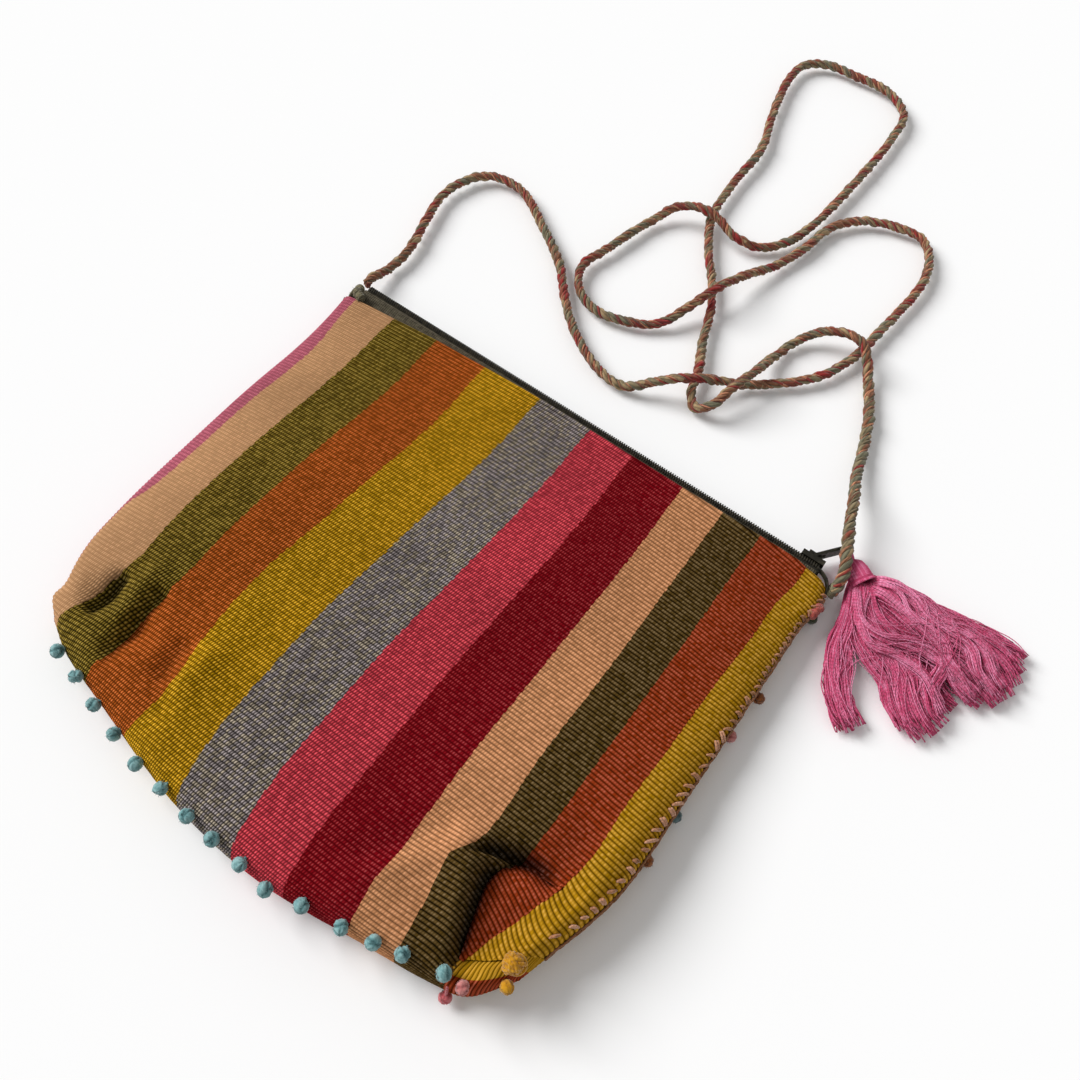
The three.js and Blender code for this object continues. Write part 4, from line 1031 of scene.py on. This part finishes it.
def add_tassel():
    paint = yarn_material("tassel_thread", (150, 18, 60), (210, 82, 124), (250, 168, 204), sheen=.08)

    def add_soft(heap, name, *stands_for):
        piece = heap.make(name, paint, "tassel_thread", *stands_for, body="tassel")
        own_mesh(piece)

    lower, upper, head, wrap = Heap(), Heap(), Heap(), Heap()
    for i, lock in enumerate(TASSEL_LOCKS):
        add_lock(upper if i % 2 else lower, *lock)
    add_loose_threads(upper)
    spine = respaced(catmull(TASSEL_HEAD, 10), HEAD_STEPS)
    side, up = framing(spine)
    girth = through(HEAD_GIRTH, np.linspace(0, 1, HEAD_STEPS))
    for angle in np.arange(HEAD_THREADS) * TURN / HEAD_THREADS:
        ring = side * math.cos(angle) * HEAD_WIDE + up * math.sin(angle) * HEAD_HIGH
        head.thread(spine + ring * (girth - .25)[:, None], .3, 5, rng.uniform(.3, .8), THREAD_PITCH)
    for shift in (-.35, .35):
        head.thread(catmull(EYE_LOOP, 6) + np.array([shift * .5, shift, 0]), .4, 6, .5, THREAD_PITCH)
    turns = np.linspace(0, TURN * 3, 100)
    at = BINDING_AT
    coil = spine[at] + unit(spine[-1] - spine[at]) * np.linspace(-.5, .5, len(turns))[:, None]
    wrap.thread(coil + circle(side[at] * BINDING_WIDE, up[at] * BINDING_HIGH, turns), .24, 5, .3)
    add_soft(lower, "tassel_visual", "tassel_threads")
    add_soft(upper, "tassel_locks")
    add_soft(head, "tassel_head")
    add_soft(wrap, "tassel_binding_visual", "tassel_binding")


add_tassel()


# Pompoms: little bobbles of wound wool with loose fibres.

# Each wool's dark, middle and pale tones, and the bobbles made of it.
WOOLS = {
    "teal_wool": (
        (36, 70, 74), (100, 144, 146), (158, 194, 194), [n for n in nodes if n.startswith("front_pompom")]),
    "dark_green_wool": ((22, 32, 18), (44, 54, 32), (80, 88, 58), ["side_pompom_01"]),
    "rust_wool": ((82, 40, 16), (130, 72, 30), (170, 110, 60), ["side_pompom_02", "side_pompom_05"]),
    "pale_pink_wool": (
        (140, 70, 70), (186, 112, 108), (214, 152, 146), ["side_pompom_03", "corner_pompom_pink_01"]),
    "rose_wool": ((132, 40, 48), (186, 82, 88), (214, 126, 128), ["corner_pompom_pink_02"]),
    "grey_teal_wool": ((44, 62, 64), (74, 96, 98), (112, 134, 136), ["side_pompom_04"]),
    "yellow_wool": (
        (124, 76, 4), (186, 128, 8), (216, 162, 30), ["corner_pompom_yellow_01", "corner_pompom_yellow_02"]),
}
FRONT_SIZE, OTHER_SIZE, KNOT_SIZE, FIBRES = 4.8, 4.3, 6.4, 50
# How far a bobble may move to sit on the hem.
HEM_REACH = 1.3


def bobble(heap, middle, size, axis):
    """A wound ball with a deep cleft or two, where the yarn turns in."""
    rings, sides = 18, 26
    axis = unit(axis)
    across = unit(np.cross(axis, [.3, .2, 1.0]))
    third = np.cross(axis, across)
    polar, turn = np.linspace(.1, math.pi - .1, rings), np.arange(sides) * TURN / sides
    a, b = np.meshgrid(polar, turn, indexing="ij")
    phase = rng.uniform(0, 6, 3)
    swirl = b + .9 * np.sin(a + phase[0]) + .5 * a
    cleft = np.exp(-(np.sin(swirl + phase[1]) / .2) ** 2) * np.sin(a)
    branch = np.exp(-((a - 1.5 - .3 * np.sin(2 * b)) / .16) ** 2) * smooth(-.2, .3, np.sin(b + phase[2]))
    wound = .05 * np.abs(np.sin(3.5 * swirl + phase[2])) - .24 * np.maximum(cleft, branch)
    wound += .03 * rng.standard_normal(a.shape)
    r = .5 * size * (.97 + wound)
    points = middle + axis * (r * 1.04 * np.cos(a))[..., None] + across * (r * np.sin(a) * np.cos(b))[..., None]
    points = (points + third * (r * .94 * np.sin(a) * np.sin(b))[..., None]).reshape(-1, 3)
    # The colour follows the surface's depth: painted shade in the clefts and between the wound strands.
    tint = np.clip(.6 + 3.6 * wound, 0, 1).ravel()
    heap.add(points, skin(rings, sides, turned=True), np.stack([tint, b.ravel()], -1))
    for _ in range(FIBRES):
        way = unit(rng.standard_normal(3))
        root = middle + way * size * .45
        bend = unit(rng.standard_normal(3)) * size * .1
        hair = np.stack([root, root + way * size * .04 + bend * .5, root + way * size * .05 + bend])
        heap.thread(hair, [.08, .07, .04], 3, rng.uniform(.5, 1))


def knot(heap, middle, size):
    """A wad of thick yarn in loops."""
    for _ in range(30):
        a = unit(rng.standard_normal(3))
        b = unit(np.cross(a, rng.standard_normal(3)))
        reach = size * rng.uniform(.3, .44)
        loop = middle + rng.normal(0, .35, 3) + circle(a, b, np.linspace(0, TURN, 20)) * reach
        heap.thread(loop, .7, 6, rng.uniform(.25, .8), 1.2)


def node_middle(name):
    low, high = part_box(name)
    return (np.array(low) + np.array(high)) / 2 / MM


def hem_line():
    share = np.linspace(.02, .98, 600)
    base = [front(share, 0 * share + inset) for inset in (.96, .975, .985, .995)]
    return np.vstack(base + [surface(0 * share + .998, share) for surface in (front, under)])


def add_pompoms():
    line = hem_line()
    for wool, (*tones, members) in WOOLS.items():
        heap = Heap()
        for name in sorted(members):
            size = FRONT_SIZE if "front" in name else OTHER_SIZE
            middle = node_middle(name)
            foot = line[np.argmin(np.linalg.norm(line - middle, axis=1))]
            off = np.linalg.norm(foot - middle)
            middle = middle + (foot - middle) / off * np.clip(off - size / 2, 0, HEM_REACH)
            bobble(heap, middle, size, np.array([.45, -.8, .3]) + .6 * rng.standard_normal(3))
            if name == "corner_pompom_yellow_01":
                knot(heap, middle, KNOT_SIZE)
            inward = unit(np.array([20, 0, 8]) - foot)
            heap.thread(catmull([middle, lerp(middle, foot, .7), foot + inward * .8], 4), .5, 6, .3)
        slot = "pale_pink_wool" if wool == "rose_wool" else wool
        heap.make(wool.replace("_wool", "_pompoms"), yarn_material(wool, *tones), slot, *members)


add_pompoms()


# Sewing: whip stitches over the seam, a wad of thread at each end of the strap, and a tuft of wool.

# The seam's line as (share down, share across), and its frayed edge threads as (out, up, tint).
SEAM = [
    (.02, .994), (.3, .994), (.55, .993), (.63, .988), (.72, .987), (.82, .986), (.87, .982),
    (.89, .964), (.913, .94)]
SEAM_TOP, SEAM_END, FRAY_END = .03, .905, .944
FRAYS = (.1, -.2, .2), (.3, -.7, .05), (.25, -1.2, .15), (.1, -1.8, .1)
STITCH_GIRTH = [(0, .3), (.25, .58), (.5, .7), (.75, .58), (1, .3)]
STITCH_PITCH, STITCH_ACROSS = 1.1, np.array([-.0052, 0, .0046])


def add_stitches():
    """Plump slanting stitches over the seam, and the frayed threads that run along its edge."""
    heap = Heap()
    t = SEAM_TOP
    while t < SEAM_END:
        share = through(SEAM, t)
        low = smooth(.25, .5, t)
        slant = rng.uniform(-.012, .02) * lerp(.3, 1, low)
        across = STITCH_ACROSS * rng.uniform(.55, 1.2) * lerp(.6, 1, low) + rng.uniform(-.0016, .0016)
        a, b, c = dressed(np.clip(share + across, 0, .999), t + slant * np.array([-.5, 0, .5]))
        path = catmull([a - [0, 0, .6], a + [0, 0, .15], b + [.1, 0, .7], c + [.2, 0, .25], c - [0, 0, .6]], 5)
        girth = through(STITCH_GIRTH, np.linspace(0, 1, len(path)))
        tint = lerp(rng.uniform(0, .35), rng.uniform(.3, .95), low)
        for turn in (0, 2.1, 4.2):
            apart = np.array([.3 * math.cos(turn), .42 * math.cos(turn + .6), .3 * math.sin(turn)])
            strand = path + apart + np.linspace(-.3, .3, len(path))[:, None] * rng.normal(0, .5, 3)
            size = girth * rng.uniform(.5, .8) * lerp(.7, 1.05, low)
            heap.thread(strand, size, 6, np.clip(tint + rng.uniform(-.2, .2), 0, 1), STITCH_PITCH)
        t += rng.uniform(.018, .027) * lerp(.72, 1, low)
    t = np.linspace(SEAM_TOP, FRAY_END, 310)
    for out, up, tint in FRAYS:
        shake = np.interp(t, np.linspace(0, 1, 170), rng.uniform(-.4, .4, 170))
        edge = dressed(0 * t + .9985, t) + np.stack([out + .6 * shake, 0 * t, up + shake], -1)
        heap.thread(edge, .36, 6, tint, STITCH_PITCH)
    paint = yarn_material("stitch_thread", (104, 66, 22), (172, 118, 84), (208, 158, 128))
    heap.make("seam_stitches", paint, "pale_pink_wool")


LEFT_TACK = node_middle("strap_tack_left")
# The wads of each tack as (middle, way they run, reach).
TACKS = {
    "strap_tack_left": [
        (LEFT_TACK + [1.5, -3.9, 2.1], (-.3, 1, -.35), 1.9),
        (LEFT_TACK + [4.4, -5.6, 4.3], (1, -.35, .1), 1.25)],
    "strap_tack_right": [(np.array([112.3, 92.2, 5.0]), (.15, 1, .4), 1.0)],
}
ZIP_TAIL = [(103.5, 96.2, 6.4), (106.3, 95.3, 6.6), (108.6, 93.9, 6.4), (110.3, 91.6, 5.8), (110.9, 88.8, 4.8)]


def add_wad(heap, middle, way, reach):
    """Thread wound about a line, with a few loose fibres."""
    way = unit(np.array(way, float))
    for _ in range(int(26 * reach)):
        pole = unit(way + .55 * rng.standard_normal(3))
        a = unit(np.cross(pole, [.2, .3, 1]))
        size = rng.uniform(.9, 1.75)
        at = middle + way * reach * rng.uniform(-1.6, 1.9)
        loop = at + circle(a, np.cross(pole, a), np.linspace(0, TURN, 22)) * size
        heap.thread(loop, .48, 6, rng.uniform(.1, .95), 1.4)
    for _ in range(30):
        root = middle + way * reach * rng.uniform(-2, 2) + unit(rng.standard_normal(3)) * 1.4
        lean = unit(rng.standard_normal(3)) * 1.3
        hair = catmull([root, root + lean * .6, root + lean + rng.standard_normal(3) * .4], 4)
        heap.thread(hair, .07, 3, .8)


def add_tacks():
    """Thread wound over each end of the strap, and the tape's end at the seam."""
    paint = yarn_material("tack_thread", (62, 58, 42), (102, 95, 70), (142, 132, 102))
    for name, wads in TACKS.items():
        heap = Heap()
        for wad in wads:
            add_wad(heap, *wad)
        heap.make(name + "_visual", paint, "strap_thread", name)
    heap = Heap()
    for dz in (-.9, -.3, .3, .9):
        heap.thread(catmull(ZIP_TAIL, 8) + np.array([0, 0, dz]), .42, 6, .3)
    heap.make("zip_tail", coil_paint, "zip_coil")


def add_seam_tuft():
    """A small wad of red wool caught in the seam under the zip's closed end."""
    heap = Heap()
    for t, size in ((.058, 2.1), (.068, 1.9), (.078, 1.6)):
        knot(heap, dressed(np.array(.996), np.array(t)) + [.2, 0, -.2], size)
    paint = yarn_material("tuft_wool", (110, 36, 34), (158, 72, 62), (196, 122, 104))
    heap.make("seam_tuft", paint, "pale_pink_wool")


add_stitches()
add_tacks()
add_seam_tuft()


# Stage: a plain pale floor, a soft studio sky that looks white, and one large soft lamp from the upper left.

FLOOR_REACH, FLOOR_Z = 6.0, -.0014
SKY_STRENGTH = .42
LAMP_ENERGY, LAMP_ANGLE, LAMP_AHEAD = 3.15, math.radians(32), np.array([.9, .1, -.66])


def add_floor():
    mesh = bpy.data.meshes.new("floor")
    corners = [(x * FLOOR_REACH, y * FLOOR_REACH, FLOOR_Z) for x, y in ((-1, -1), (1, -1), (1, 1), (-1, 1))]
    mesh.from_pydata(corners, [], [[0, 1, 2, 3]])
    mesh.materials.append(Shader("floor_paper", .9, specular=0.0).done(linear((252, 252, 252))))
    floor = bpy.data.objects.new("floor", mesh)
    scene.collection.objects.link(floor)


def add_sky():
    world = bpy.data.worlds.new("studio")
    world.use_nodes = True
    sky = Tree(world.node_tree)
    soft = world.node_tree.nodes["Background"]
    soft.inputs["Color"].default_value = WHITE
    soft.inputs["Strength"].default_value = SKY_STRENGTH
    rays = sky.add("LightPath").node.outputs
    seen = rays["Is Camera Ray"]
    for kind in ("Is Glossy Ray", "Is Transmission Ray"):
        seen = sky.math("MAXIMUM", seen, rays[kind])
    shown = sky.add("MixShader", seen, soft.outputs[0], sky.add("Background", WHITE))
    sky.put(world.node_tree.nodes["World Output"].inputs["Surface"], shown)
    scene.world = world


def add_lamp():
    lamp = bpy.data.lights.new("soft_lamp", "SUN")
    lamp.energy, lamp.angle = LAMP_ENERGY, LAMP_ANGLE
    ahead = unit(LAMP_AHEAD)
    right = unit(np.cross(ahead, [0, 0, 1]))
    placed("soft_lamp", lamp, right, np.cross(right, ahead), -ahead)


add_floor()
add_sky()
add_lamp()
scene.view_settings.view_transform = "Standard"
